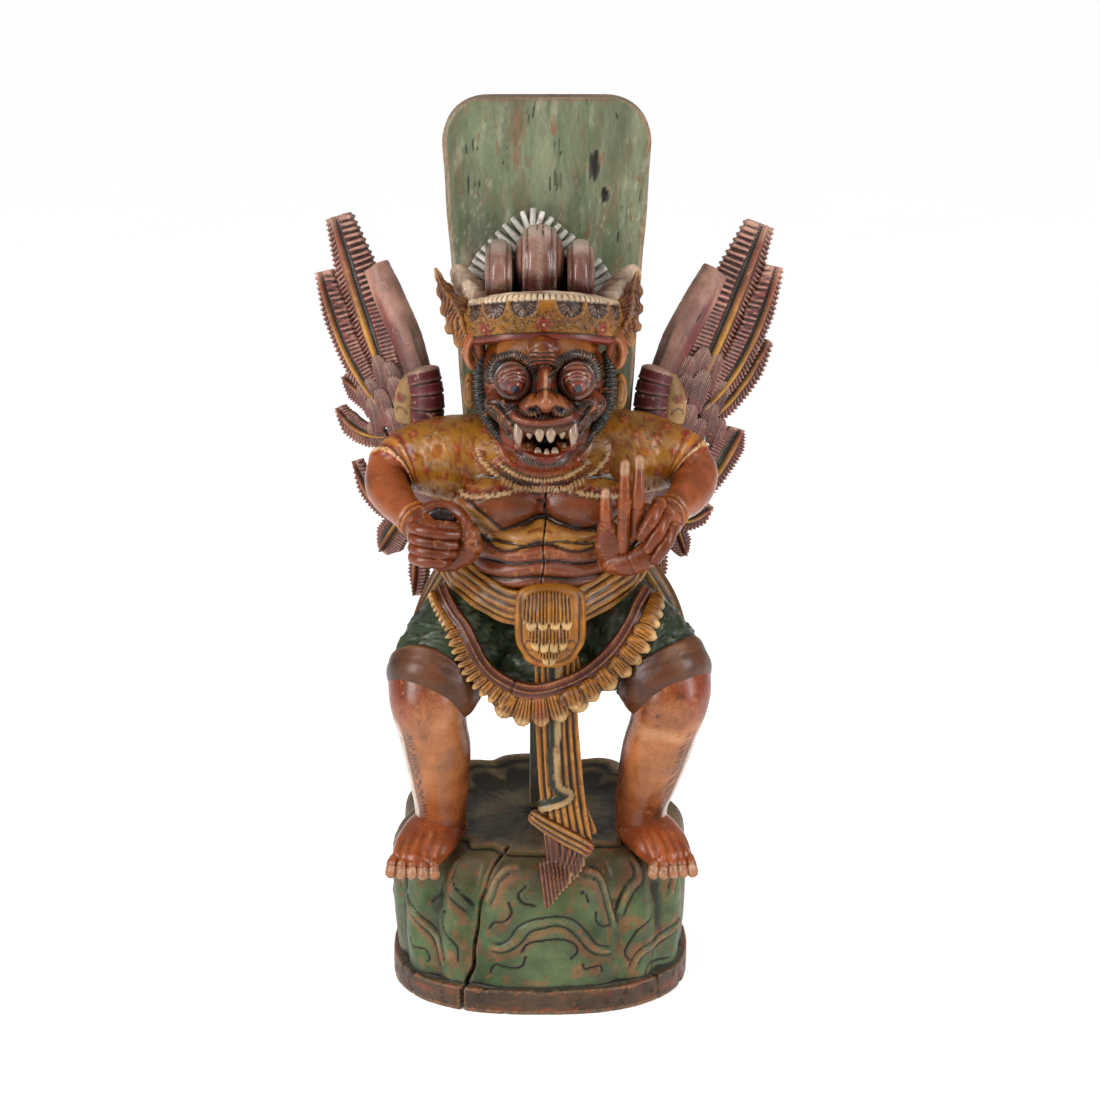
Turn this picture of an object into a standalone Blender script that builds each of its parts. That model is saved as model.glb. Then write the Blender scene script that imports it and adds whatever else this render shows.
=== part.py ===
"""Painted wooden garuda statue, carved from one block with a pair of separate wings.

Run with: blender --background --python part.py
Metres, +Z up. The origin is the middle of the underside, and the figure looks along -Y.
The block (rock base, figure and back board) is one solid. Each wing is its own solid,
held by a tenon in a mortise behind the shoulder.
"""
import math

import bmesh
import bpy
import numpy as np
from mathutils import Matrix, Vector

# Driving dimensions of the rock base, in metres
BASE_WIDTH = 0.266
BASE_DEPTH = 0.252
BASE_FRONT_HEIGHT = 0.136
BASE_BACK_HEIGHT = 0.164
PLINTH_HEIGHT = 0.022
PLINTH_LEDGE = 0.004

# The figure, from the soles of its feet to the tip of its crest
FIGURE_HEIGHT = 0.550

# The back board and the post that it narrows to behind the legs
BOARD_TOP = 0.780
BOARD_WIDTH = 0.186
BOARD_NECK_WIDTH = 0.150
BOARD_THICKNESS = 0.030
BOARD_CORNER_RADIUS = 0.040
POST_WIDTH = 0.042

# The wings and the joint that carries them
WING_HEIGHT = 0.350
WING_SWEEP_DEG = {-1: 40.0, 1: 29.0}
WING_LEAN_DEG = {-1: 0.0, 1: 3.0}
WING_TENON_WIDTH = 0.016
WING_TENON_HEIGHT = 0.036
WING_TENON_LENGTH = 0.020
FIT_GAP = 0.0004

# The hole through the fist, for the staff or flower that the figure once held
GRIP_BORE = 0.022

# Fineness of the carved surface
BLOCK_VOXEL = 0.0030
BLOCK_TRIANGLES = 6250
WING_VOXEL = 0.0024
WING_TRIANGLES = 1580

# The figure is laid out on a grid of 550 parts in its height, about a millimetre each
GRID_PARTS = 550
PART = FIGURE_HEIGHT / GRID_PARTS

# The wing is laid out on a grid of 350 parts in its height
WING_GRID_PARTS = 350
WING_PART = WING_HEIGHT / WING_GRID_PARTS

# Shares that place the board: the figure's back meets the board's front face
BOARD_FRONT = 26 * PART
BOARD_BACK = BOARD_FRONT + BOARD_THICKNESS
BOARD_CENTRE_X = 6 * PART
POST_CENTRE_X = 11 * PART


def clear_scene():
    for obj in list(bpy.data.objects):
        bpy.data.objects.remove(obj, do_unlink=True)


def figure_point(x, y, z):
    """A point of the figure, in parts from the middle of its footprint, in metres."""
    return np.array([x * PART, y * PART, BASE_FRONT_HEIGHT + z * PART])


def smooth_path(points, steps):
    """Points and radii read from a Catmull-Rom curve through the given rows."""
    rows = np.array(points, float)
    padded = np.vstack([2 * rows[0] - rows[1], rows, 2 * rows[-1] - rows[-2]])
    out = []
    for i in range(len(rows) - 1):
        a, b, c, d = padded[i:i + 4]
        for t in np.linspace(0, 1, steps, endpoint=False):
            out.append(0.5 * (2 * b + (c - a) * t + (2 * a - 5 * b + 4 * c - d) * t ** 2
                              + (3 * b - a - 3 * c + d) * t ** 3))
    out.append(rows[-1])
    return np.array(out)


class Carving:
    """Closed rings of points gathered in one mesh, then fused to a single solid."""

    def __init__(self):
        self.bm = bmesh.new()

    def rings(self, rings):
        """Closed rings joined side by side, with both ends closed."""
        loops = [[self.bm.verts.new(p) for p in ring] for ring in rings]
        count = len(loops[0])
        for low, high in zip(loops, loops[1:]):
            for i in range(count):
                j = (i + 1) % count
                self.bm.faces.new((low[i], low[j], high[j], high[i]))
        self.bm.faces.new(loops[0][::-1])
        self.bm.faces.new(loops[-1])

    def ball(self, centre, radii, turn=(0, 0, 0), sides=20, rows=12):
        """An ellipsoid at a grid point, with its three radii in parts and turned in degrees."""
        spin = np.array(Matrix.Rotation(math.radians(turn[2]), 3, "Z")
                        @ Matrix.Rotation(math.radians(turn[1]), 3, "Y")
                        @ Matrix.Rotation(math.radians(turn[0]), 3, "X"))
        middle = figure_point(*centre)
        around = np.linspace(0, 2 * math.pi, sides, endpoint=False)
        made = []
        for lat in np.linspace(-0.97, 0.97, rows) * math.pi / 2:
            ring = np.stack([np.cos(around) * math.cos(lat), np.sin(around) * math.cos(lat),
                             np.full(sides, math.sin(lat))], 1) * np.array(radii) * PART
            made.append(ring @ spin.T + middle)
        self.rings(made)

    def limb(self, rows, side=(1, 0, 0), sides=16, steps=6, scale=PART, place=figure_point):
        """A tapering limb through rows of (x, y, z, radius across, radius through).

        The section is an ellipse square to the path, and both ends are rounded.
        side is the direction that the first radius lies along.
        """
        path = smooth_path([(*r, r[3])[:5] for r in rows], steps)
        centres = np.array([place(*p[:3]) for p in path])
        radii = path[:, 3:5] * scale
        along = np.gradient(centres, axis=0)
        along /= np.linalg.norm(along, axis=1)[:, None]
        turns = np.linspace(0, 2 * math.pi, sides, endpoint=False)

        def ring(i, shrink, shift):
            across = np.array(side, float) - along[i] * np.dot(side, along[i])
            across /= np.linalg.norm(across)
            through = np.cross(along[i], across)
            reach = radii[i].min() * shift
            return (centres[i] + along[i] * reach
                    + np.outer(np.cos(turns), across) * radii[i, 0] * shrink
                    + np.outer(np.sin(turns), through) * radii[i, 1] * shrink)

        caps = np.radians([78, 52, 26])
        made = [ring(0, math.cos(a), -math.sin(a)) for a in caps]
        made += [ring(i, 1, 0) for i in range(len(path))]
        made += [ring(-1, math.cos(a), math.sin(a)) for a in caps[::-1]]
        self.rings(made)

    def solid(self, name, colour, voxel, triangles):
        """All that was gathered, fused to one closed body with about that many faces."""
        bmesh.ops.recalc_face_normals(self.bm, faces=self.bm.faces)
        mesh = bpy.data.meshes.new(name)
        self.bm.to_mesh(mesh)
        self.bm.free()
        obj = bpy.data.objects.new(name, mesh)
        bpy.context.scene.collection.objects.link(obj)
        fuse = obj.modifiers.new("Fuse", "REMESH")
        fuse.mode = "VOXEL"
        fuse.voxel_size = voxel
        soften = obj.modifiers.new("Soften", "SMOOTH")
        soften.factor = 0.5
        soften.iterations = 2
        read = obj.evaluated_get(bpy.context.evaluated_depsgraph_get())
        fine = sum(len(p.vertices) - 2 for p in read.data.polygons)
        thin = obj.modifiers.new("Facets", "DECIMATE")
        thin.ratio = min(1.0, triangles / fine)
        thin.use_collapse_triangulate = True
        obj.data.materials.append(paint(name + "_paint", colour))
        return obj


def paint(name, colour, roughness=0.45):
    material = bpy.data.materials.new(name)
    material.use_nodes = True
    shader = material.node_tree.nodes["Principled BSDF"]
    shader.inputs["Base Color"].default_value = (*colour, 1)
    shader.inputs["Roughness"].default_value = roughness
    shader.inputs["Metallic"].default_value = 0
    return material


# Rock base: a rounded block in lobes, with a thin plinth under it. The lobes meet in
# valleys at these angles, in degrees from the front and growing to the right.
VALLEY_DEG = (-158, -128, -98, -70, -42, -23, 28, 52, 80, 108, 136, 164)
VALLEY_DEPTH = 0.075
VALLEY_SPREAD_DEG = 7.0
BASE_SQUARENESS = 2.5
RIM_ROUNDING = 0.030
ROCK_BULGE = 0.040


def base_outline(turn):
    """The rock's reach in X and Y at an angle round it, as a superellipse."""
    c, s = np.cos(turn), np.sin(turn)
    x = np.sign(c) * np.abs(c) ** (2 / BASE_SQUARENESS) * BASE_WIDTH / 2
    y = np.sign(s) * np.abs(s) ** (2 / BASE_SQUARENESS) * BASE_DEPTH / 2
    return x, y


def base_valley(turn):
    """How deep in a valley between two lobes an angle is: 1 in its middle, 0 on the lobes."""
    from_front = np.degrees(turn) + 90
    gaps = [np.abs((from_front - v + 180) % 360 - 180) for v in VALLEY_DEG]
    return np.exp(-(np.min(gaps, axis=0) / VALLEY_SPREAD_DEG) ** 2)


def base_top(y):
    """The height of the rock's top, which climbs from the front to the back."""
    share = np.clip(0.5 + y / BASE_DEPTH, 0, 1)
    return BASE_FRONT_HEIGHT + (BASE_BACK_HEIGHT - BASE_FRONT_HEIGHT) * share


def add_base(block):
    turn = np.linspace(0, 2 * math.pi, 120, endpoint=False)
    x, y = base_outline(turn)
    valley = base_valley(turn)
    top = base_top(y)
    inner = 1 - PLINTH_LEDGE / (BASE_WIDTH / 2)
    made = [np.stack([x, y, np.full_like(x, z)], 1) for z in (-PLINTH_HEIGHT, PLINTH_HEIGHT)]
    shoulder = top - RIM_ROUNDING * (1 + 0.4 * valley)
    for share in np.linspace(0, 1, 9):
        reach = inner * (1 - VALLEY_DEPTH * valley * (0.4 + 0.6 * share))
        reach = reach * (1 + ROCK_BULGE * math.sin(math.pi * share * 0.8))
        height = PLINTH_HEIGHT + (shoulder - PLINTH_HEIGHT) * share
        made.append(np.stack([x * reach, y * reach, height], 1))
    for lean in np.radians([25, 50, 75, 90]):
        pulled = reach - RIM_ROUNDING * (1 - math.cos(lean)) / (BASE_WIDTH / 2)
        height = shoulder + (top - shoulder) * math.sin(lean)
        made.append(np.stack([x * pulled, y * pulled, height], 1))
    for shrink in (0.5, 0.25, 0.05):
        made.append(np.stack([x * shrink, y * shrink, base_top(y * shrink)], 1))
    block.rings(made)


def board_half_width(z):
    """Half the board's width at a height: wide above, a post behind the legs."""
    neck = BASE_FRONT_HEIGHT + 372 * PART
    waist = BASE_FRONT_HEIGHT + 200 * PART
    crotch = BASE_FRONT_HEIGHT + 120 * PART
    heights = [0, crotch, waist, neck, BOARD_TOP]
    widths = [POST_WIDTH, POST_WIDTH, BOARD_NECK_WIDTH * 0.9, BOARD_NECK_WIDTH, BOARD_WIDTH]
    return np.interp(z, heights, widths) / 2


def add_board(block):
    """The board's outline, with round upper corners, as one plate with chamfered edges."""
    rise = np.linspace(BASE_FRONT_HEIGHT * 0.5, BOARD_TOP - BOARD_CORNER_RADIUS, 24)
    side = [(board_half_width(z), z) for z in rise]
    hub = board_half_width(BOARD_TOP) - BOARD_CORNER_RADIUS
    for lean in np.radians(np.arange(10, 91, 16)):
        side.append((hub + BOARD_CORNER_RADIUS * math.cos(lean),
                     BOARD_TOP - BOARD_CORNER_RADIUS * (1 - math.sin(lean))))

    def drift(z):
        legs = BASE_FRONT_HEIGHT + 120 * PART
        chest = BASE_FRONT_HEIGHT + 300 * PART
        return np.interp(z, [legs, chest], [POST_CENTRE_X, BOARD_CENTRE_X])

    right = [(drift(z) + w, z) for w, z in side]
    left = [(drift(z) - w, z) for w, z in side[::-1]]
    outline = np.array(right + left)
    middle = np.array([drift(BOARD_TOP), BASE_FRONT_HEIGHT + 0.4 * FIGURE_HEIGHT])
    chamfer = BOARD_THICKNESS * 0.2
    spread = np.linalg.norm(outline - middle, axis=1)[:, None]
    inset = outline - (outline - middle) / spread * chamfer
    block.rings([np.insert(inset, 1, BOARD_BACK, axis=1),
                 np.insert(outline, 1, BOARD_BACK - chamfer, axis=1),
                 np.insert(outline, 1, BOARD_FRONT + chamfer, axis=1),
                 np.insert(inset, 1, BOARD_FRONT, axis=1)])


def add_torso(block):
    block.ball((2, -26, 318), (80, 52, 50))
    for x in (-33, 38):
        block.ball((x, -64, 308), (36, 24, 24))
    block.limb([(2, -18, 335, 52, 36), (3, -34, 372, 40, 36)])
    block.limb([(2, -14, 312, 66, 44), (2, -14, 262, 62, 44), (3, -14, 215, 72, 46)])
    block.ball((3, -54, 262), (66, 60, 44))
    # Belly folds, one below the other
    for z, y, half in ((282, -108, 44), (268, -113, 48), (254, -113, 48), (241, -108, 44)):
        arc = [(3 + half * math.sin(a), y + 30 * (1 - math.cos(a)), z, 5, 5)
               for a in np.radians([-80, -40, 0, 40, 80])]
        block.limb(arc, side=(0, 0, 1), sides=8, steps=4)
    # The pads behind the shoulders, where the wings are seated
    for x in (-100, 100):
        block.limb([(x, -14, 350, 26, 28), (x, 8, 350, 24, 26)], side=(1, 0, 0), sides=14)
    # The flanks under the arms
    for x in (-68, 74):
        block.limb([(x, -2, 318, 30, 22), (x * 0.98, -2, 262, 24, 20), (x * 0.9, -4, 222, 26, 22)])
    # The back, which joins the head and trunk to the board
    block.limb([(4, 8, 120, 36, 24), (4, 8, 220, 66, 26), (4, 8, 330, 66, 26), (4, 6, 440, 44, 26)])


def add_collar(block):
    """The raised rim of the broad collar that lies on the chest."""
    rows = [(3 + 62 * math.sin(a), -52 - 34 * math.cos(a), 352 - 42 * math.cos(a), 5, 5)
            for a in np.radians([-100, -60, -20, 20, 60, 100])]
    block.limb(rows, side=(0, 0, 1), sides=8, steps=4)


def add_arm(block, side):
    """side is -1 for the arm with the fist and 1 for the arm with the raised palm."""
    if side < 0:
        block.limb([(-66, -20, 336, 40, 40), (-98, -22, 334, 35, 34), (-122, -24, 326, 28, 28),
                    (-130, -32, 316, 23, 24)], side=(0, 0, 1))
        block.limb([(-130, -30, 317, 23, 24), (-122, -58, 304, 23, 22), (-108, -88, 290, 19, 19),
                    (-101, -98, 286, 17, 17)], side=(0, 0, 1))
        # Wrist band
        block.limb([(-111, -84, 292, 21, 21), (-106, -91, 289, 21, 21)], side=(0, 0, 1), steps=2)
    else:
        block.limb([(68, -20, 338, 40, 40), (100, -22, 340, 35, 34), (124, -24, 332, 28, 28),
                    (132, -32, 322, 23, 24)], side=(0, 0, 1))
        block.limb([(132, -30, 322, 23, 24), (125, -58, 308, 22, 21), (106, -86, 290, 18, 18),
                    (90, -104, 276, 15, 15)], side=(0, 0, 1))


# The middle of the fist, and the middle and half sizes of the open mouth
FIST = (-82, -112, 281)
MOUTH = (1, -130, 371)
MOUTH_HALF = (23, 24, 8)


def add_fist(block):
    """Four fingers wrapped from the knuckles on the left to the palm on the right."""
    x0, y0, z0 = FIST
    block.ball((x0, y0, z0), (31, 26, 27))
    for i, z in enumerate((17, 5, -7, -18)):
        reach = 3 - 2 * i
        block.limb([(x0 - 30, y0 - 4, z0 + z + 5, 7, 8), (x0 - 22, y0 - 22, z0 + z + 4, 7, 8),
                    (x0 - 4, y0 - 30, z0 + z, 7, 8), (x0 + 14 + reach, y0 - 24, z0 + z - 2, 7, 8)],
                   side=(0, 0, 1), sides=10, steps=4)
    block.limb([(x0 + 30, y0 - 2, z0 - 12, 13, 13), (x0 + 32, y0 - 8, z0 + 6, 11, 11),
                (x0 + 22, y0 - 16, z0 + 22, 8, 8)], side=(0, 1, 0), sides=12, steps=4)


def add_palm(block):
    """The raised hand: palm to the front, three fingers up and two curled."""
    block.ball((72, -116, 276), (30, 14, 30), turn=(8, 10, 0))
    block.limb([(60, -120, 258, 16, 12), (84, -118, 266, 18, 12)], side=(0, 0, 1), steps=4)
    fingers = (((57, -124, 280), (55, -128, 305), (57, -126, 324), 8.0),
               ((69, -124, 284), (70, -128, 318), (71, -124, 344), 7.6),
               ((81, -122, 286), (82, -126, 320), (84, -120, 349), 7.8))
    for low, mid, tip, r in fingers:
        block.limb([(*low, r + 1, r), (*mid, r, r), (*tip, r - 1.5, r - 1.5)], sides=12, steps=4)
    for dz in (0, -14):
        block.limb([(98, -104, 300 + dz, 11, 12), (112 + dz / 2, -122, 304 + dz, 11, 11),
                    (100, -140, 286 + dz, 9, 9), (82, -136, 274 + dz, 8, 8)],
                   side=(0, 1, 0), sides=12, steps=4)


def add_skirt(block):
    block.ball((4, -20, 208), (84, 56, 50))
    for s, knee_x, knee_z in ((-1, -92, 160), (1, 110, 163)):
        hip = 42 * s + 3
        mid = (hip + knee_x) / 2
        block.limb([(hip, -34, 206, 46, 48), (mid, -64, 188, 43, 45), (knee_x, -88, knee_z, 38, 38)],
                   side=(0, 1, 0), sides=20)
        # The loose hem that flares behind the thigh
        block.limb([(52 * s + 3, 2, 244, 30, 24), (74 * s + 5, -4, 205, 32, 24),
                    (90 * s + 8, -20, 168, 34, 26)], side=(1, 0, 0))
        # The cuff above the knee
        block.limb([(knee_x - 12 * s, -82, knee_z + 3, 41, 41), (knee_x - 1 * s, -90, knee_z - 5, 39, 39)],
                   side=(0, 1, 0), sides=20, steps=3)


def apron_edge():
    """The apron's lower edge, from hip to hip, as grid points with a droop in the middle."""
    rows = []
    for a in np.radians(np.linspace(-90, 90, 13)):
        across = math.sin(a)
        drop = math.cos(a) ** 1.15
        rows.append((6 + 98 * across, -62 - 48 * math.cos(a) ** 0.6, 238 - 96 * drop))
    return rows


def add_apron(block):
    edge = apron_edge()
    # The cloth inside the edge hangs from the belt, in strips
    for x, y, z in edge[1:-1]:
        block.limb([(3 + (x - 3) * 0.62, -74, 232, 15, 13), (x, y + 2, z + 10, 14, 11)], sides=10, steps=3)
    block.limb([(x, y - 4, z + 3, 9, 8) for x, y, z in edge], side=(0, 0, 1), sides=10, steps=3)
    block.limb([(x * 1.02, y - 1, z - 10, 9, 8) for x, y, z in edge], side=(0, 0, 1), sides=10, steps=3)


def add_belt(block):
    for dz, r in ((0, 7), (-9, 7), (9, 6)):
        rows = [(3 + 76 * math.sin(a), -30 - 76 * math.cos(a), 246 + dz - 20 * math.cos(a), r, r)
                for a in np.radians(np.linspace(-150, 150, 17))]
        block.limb(rows, side=(0, 0, 1), sides=8, steps=3)


def add_buckle_and_sash(block):
    # The tongue-shaped buckle, in three tiers
    block.limb([(8, -112, 236, 30, 12), (8, -122, 212, 31, 12), (8, -124, 192, 24, 10)], steps=5)
    block.limb([(5, -122, 232, 22, 11), (5, -132, 216, 20, 9)], steps=4)
    block.limb([(5, -130, 210, 15, 8), (6, -134, 194, 9, 6)], steps=4)
    # Pleated sash, from under the apron to the rock
    block.limb([(14, -104, 165, 20, 9), (16, -108, 120, 20, 9), (19, -112, 70, 22, 9),
                (25, -118, 34, 24, 10)], steps=6)
    block.limb([(13, -122, 34, 14, 8), (30, -126, 22, 13, 8)], side=(0, 0, 1), steps=4)
    block.limb([(19, -122, 22, 22, 9), (20, -128, 6, 17, 8), (10, -134, -18, 8, 6),
                (7, -134, -26, 3, 3)], steps=5)


def add_leg(block, side):
    knee_x, knee_z = (-96, 147) if side < 0 else (114, 151)
    shin_x = -90 if side < 0 else 102
    ankle_x = -87 if side < 0 else 89
    block.limb([(knee_x, -94, knee_z, 33, 35), (shin_x, -80, 95, 28, 30),
                (ankle_x, -64, 40, 23, 24), (ankle_x, -58, 18, 22, 24)], side=(1, 0, 0), sides=18)
    block.ball((knee_x, -104, knee_z + 2), (31, 28, 30))
    toe_x = ankle_x + side * 18
    heel = (ankle_x - side * 2, -44, 8, 21, 17)
    block.limb([heel, (ankle_x + side * 6, -80, 9, 27, 17),
                (toe_x, -112, 0, 33, 12)], side=(1, 0, 0), sides=16)
    for i in range(5):
        across = (i - 2) * 13.5
        reach = 13 - abs(i - (3 if side < 0 else 1)) * 3
        block.limb([(toe_x + across * 0.9, -104, 3, 7.5, 8),
                    (toe_x + across + side * 3, -118 - reach, -7, 7.5, 7)], sides=8, steps=3)


def add_head(block):
    block.ball((3, -48, 412), (54, 54, 64))
    block.ball((4, -82, 372), (40, 36, 28))
    block.ball((4, -100, 388), (38, 24, 16))
    block.ball((4, -104, 358), (26, 20, 11))
    for x in (-23, 32):
        block.ball((x, -101, 421), (19, 19, 19))
        rows = [(x + 25 * math.sin(a), -99 + 10 * abs(math.sin(a)), 420 + 25 * math.cos(a), 6, 7)
                for a in np.radians([-95, -50, 0, 50, 95])]
        block.limb(rows, side=(0, 0, 1), sides=8, steps=4)
        block.ball((x * 1.25 - 1, -84, 398), (20, 20, 16))
    block.limb([(4, -96, 452, 12, 9), (4, -108, 436, 10, 9), (5, -124, 420, 9, 9),
                (5, -132, 412, 11, 9)], sides=12)
    for x in (-9, 19):
        block.ball((x, -120, 406), (11, 12, 9))
    # Upper and lower row of teeth
    for i in range(6):
        x = -19 + i * 9.4
        y = -124 + abs(i - 2.5) * 2.2
        block.limb([(x, y, 389, 4.5, 4), (x, y - 2, 379, 2, 2)], sides=8, steps=2)
    # The ruff of beard, from ear to ear
    for s in (-1, 1):
        rows = [(3 + s * 57, -46, 432, 9, 8), (3 + s * 61, -58, 404, 9, 8), (3 + s * 52, -72, 376, 9, 8),
                (3 + s * 33, -84, 354, 8, 8)]
        block.limb(rows, side=(0, 1, 0), sides=10, steps=5)


def add_ears(block):
    for s in (-1, 1):
        block.ball((3 + s * 65, -40, 413), (10, 14, 22), turn=(0, s * 12, 0))
        block.ball((3 + s * 68, -46, 382), (10, 9, 22), turn=(0, s * 6, 0))
        # The leaf-shaped ornament that stands over the ear
        block.limb([(3 + s * 55, -50, 424, 13, 12), (3 + s * 64, -44, 452, 18, 15),
                    (3 + s * 76, -32, 480, 12, 13), (3 + s * 88, -22, 500, 4, 6)], sides=12)
        block.limb([(3 + s * 50, -28, 462, 16, 20), (3 + s * 66, -16, 492, 12, 14),
                    (3 + s * 76, -10, 502, 6, 8)], sides=12)


def add_crown(block):
    """The band over the brow, high in the middle, with the hair rolls and the crest behind."""
    for dz, reach, r in ((0, 55, 6), (11, 57, 7), (22, 60, 7), (31, 61, 5)):
        rows = []
        for a in np.radians(np.linspace(-100, 100, 13)):
            peak = 22 * max(0.0, math.cos(a)) ** 1.5
            rows.append((3 + reach * math.sin(a), -38 - (reach - 6) * math.cos(a),
                         434 + dz + peak, r + 3, r))
        block.limb(rows, side=(0, 0, 1), sides=8, steps=3)
    block.ball((3, -42, 462), (56, 50, 24))
    for x, wide, high in ((-37, 18, 27), (1, 27, 33), (37, 18, 27)):
        block.ball((x, -30, 498), (wide, 32, high))
    for x in (-10, 1, 12):
        arc = [(x, -30 - 31 * math.cos(a), 499 + 32 * math.sin(a), 4, 4)
               for a in np.radians([-20, 10, 40, 70, 100])]
        block.limb(arc, sides=8, steps=3)
    # Crest of standing hair locks, each a ray of the pointed arch
    for i in range(19):
        a = math.radians(-108 + 12 * i)
        pointed = 1 + 0.24 * max(0.0, math.cos(a * 1.25)) ** 3
        reach_x, reach_z = 68 * math.sin(a), 66 * math.cos(a) * pointed
        block.limb([(0 + 0.45 * reach_x, 4, 468 + 0.45 * reach_z, 8, 13),
                    (-2 + reach_x * 0.96, 8, 468 + reach_z, 6, 9)],
                   side=(math.cos(a), 0, -math.sin(a)), sides=8, steps=3)


def build_block():
    """The rock base, the figure and the board, as one solid."""
    block = Carving()
    add_base(block)
    add_board(block)
    add_torso(block)
    add_collar(block)
    for side in (-1, 1):
        add_arm(block, side)
        add_leg(block, side)
    add_fist(block)
    add_palm(block)
    add_skirt(block)
    add_apron(block)
    add_belt(block)
    add_buckle_and_sash(block)
    add_head(block)
    add_ears(block)
    add_crown(block)
    return block.solid("statue", (0.42, 0.20, 0.09), BLOCK_VOXEL, BLOCK_TRIANGLES)


# Wings. The grid's first number runs out and back from the root, the second runs up,
# and the third is the depth towards the front face.
WING_ROOT_X = 100 * PART
WING_SEAT_Y = 24 * PART
WING_ROOT_Y = WING_SEAT_Y + 16 * PART
WING_ROOT_Z = BASE_FRONT_HEIGHT + 366 * PART
TENON_Z = WING_ROOT_Z - 18 * PART

# A feather's spine runs through three points (out, up). Then come the widths of its outer
# and inner vane, and its depth. The first two feathers are alike on both wings.
LONG_FEATHERS = (((38, 14), (72, 82), (104, 164), 19, 31, 2),
                 ((46, 2), (90, 46), (120, 114), 14, 20, 6))
FEATHERS = {
    -1: LONG_FEATHERS + (((42, -8), (72, 12), (98, 22), 11, 12, 0),
                         ((40, -24), (76, -20), (105, -3), 15, 9, 5),
                         ((34, -44), (68, -66), (92, -50), 14, 11, -1),
                         ((24, -66), (42, -100), (52, -126), 12, 15, -6),
                         ((8, -74), (15, -120), (15, -170), 12, 12, -3)),
    1: LONG_FEATHERS + (((46, -14), (84, 16), (112, 61), 15, 19, 3),
                        ((38, -32), (70, -34), (89, -12), 14, 17, 0),
                        ((26, -58), (44, -78), (57, -90), 13, 13, -4),
                        ((20, -66), (36, -106), (44, -134), 11, 13, -6),
                        ((8, -74), (13, -120), (13, -166), 12, 12, -3)),
}

# The broad plain blade beside the head, laid out like a feather
SLAB = ((6, 40), (32, 86), (55, 126), 15, 15, 4)

# Rows of short pointed scales over the roots: (out, up, direction in degrees)
SCALE_CENTRE = (30, 8)
SCALES = tuple((SCALE_CENTRE[0] + 26 * math.cos(a) * k, SCALE_CENTRE[1] + 38 * math.sin(a) * k,
                math.degrees(a))
               for k, angles in ((0.35, (-70, -15, 40, 80)), (0.85, (-80, -45, -10, 25, 55, 80)))
               for a in np.radians(angles))


def wing_point(side, out, up, depth):
    """A point of the wing's own grid, in metres in the statue's frame."""
    sweep = math.radians(WING_SWEEP_DEG[side])
    lean = math.radians(WING_LEAN_DEG[side])
    out, up = out * math.cos(lean) + up * math.sin(lean), up * math.cos(lean) - out * math.sin(lean)
    back = out * math.sin(sweep) - depth * math.cos(sweep)
    away = out * math.cos(sweep) + depth * math.sin(sweep)
    return np.array([side * (WING_ROOT_X + away * WING_PART), WING_ROOT_Y + back * WING_PART,
                     WING_ROOT_Z + up * WING_PART])


def add_feather(wing, side, feather, edge=4, ridge=9):
    """One feather: a bent blade with a raised spine, cut off square at its tip.

    edge is the blade's thickness at its rims and ridge is how high its spine stands.
    """
    root, middle, tip, outer, inner, depth = feather
    root, middle, tip = np.array(root, float), np.array(middle, float), np.array(tip, float)
    rings = []
    for t in np.linspace(0, 1, 9):
        spot = (1 - t) * (1 - 2 * t) * root + 4 * t * (1 - t) * middle + t * (2 * t - 1) * tip
        along = (4 * t - 3) * root + (4 - 8 * t) * middle + (4 * t - 1) * tip
        along /= np.linalg.norm(along)
        outward = np.array([along[1], -along[0]])
        swell = np.interp(t, [0, 0.35, 0.75, 1], [0.6, 0.9, 1, 0.62])
        section = ((outer, -edge), (outer, edge), (outer * 0.2, ridge * 0.6), (0, ridge),
                   (-inner * 0.2, ridge * 0.6), (-inner, edge), (-inner, -edge), (0, -edge - 2))
        ring = []
        for width, rise in section:
            out, up = spot + outward * width * swell
            ring.append(wing_point(side, out, up, depth + rise))
        rings.append(ring)
    wing.rings(rings)


def add_scale(wing, side, scale):
    """A small pointed feather that covers the root of the long ones."""
    out, up, lean = scale
    a = math.radians(lean)
    along = np.array([math.cos(a), math.sin(a)])
    rows = []
    for reach, r in ((-12, 8), (2, 9), (14, 6), (22, 2)):
        spot = np.array([out, up]) + along * reach
        rows.append((spot[0], spot[1], 10 - reach * 0.15, r, 5))
    normal = wing_point(side, 0, 0, 1) - wing_point(side, 0, 0, 0)
    wing.limb(rows, side=tuple(np.cross(normal, wing_point(side, along[0], along[1], 0)
                                        - wing_point(side, 0, 0, 0)) * 1e6),
              sides=8, steps=2, scale=WING_PART, place=lambda o, u, d: wing_point(side, o, u, d))


def tenon_box(side, gap):
    """The spans of the tenon, or of its mortise with a gap all round."""
    x = side * WING_ROOT_X
    half_w, half_h = WING_TENON_WIDTH / 2 + gap, WING_TENON_HEIGHT / 2 + gap
    return ((x - half_w, x + half_w), (WING_SEAT_Y - WING_TENON_LENGTH - gap, WING_ROOT_Y),
            (TENON_Z - half_h, TENON_Z + half_h))


def seat_box(side, front, back):
    """The space behind a shoulder and beside the board, where the wing's root sits."""
    inner = BOARD_CENTRE_X + side * (BOARD_NECK_WIDTH / 2 + 2 * PART)
    outer = inner + side * 0.2
    return ((min(inner, outer), max(inner, outer)), (front, back),
            (BASE_FRONT_HEIGHT + 250 * PART, BASE_FRONT_HEIGHT + 396 * PART))


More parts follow.
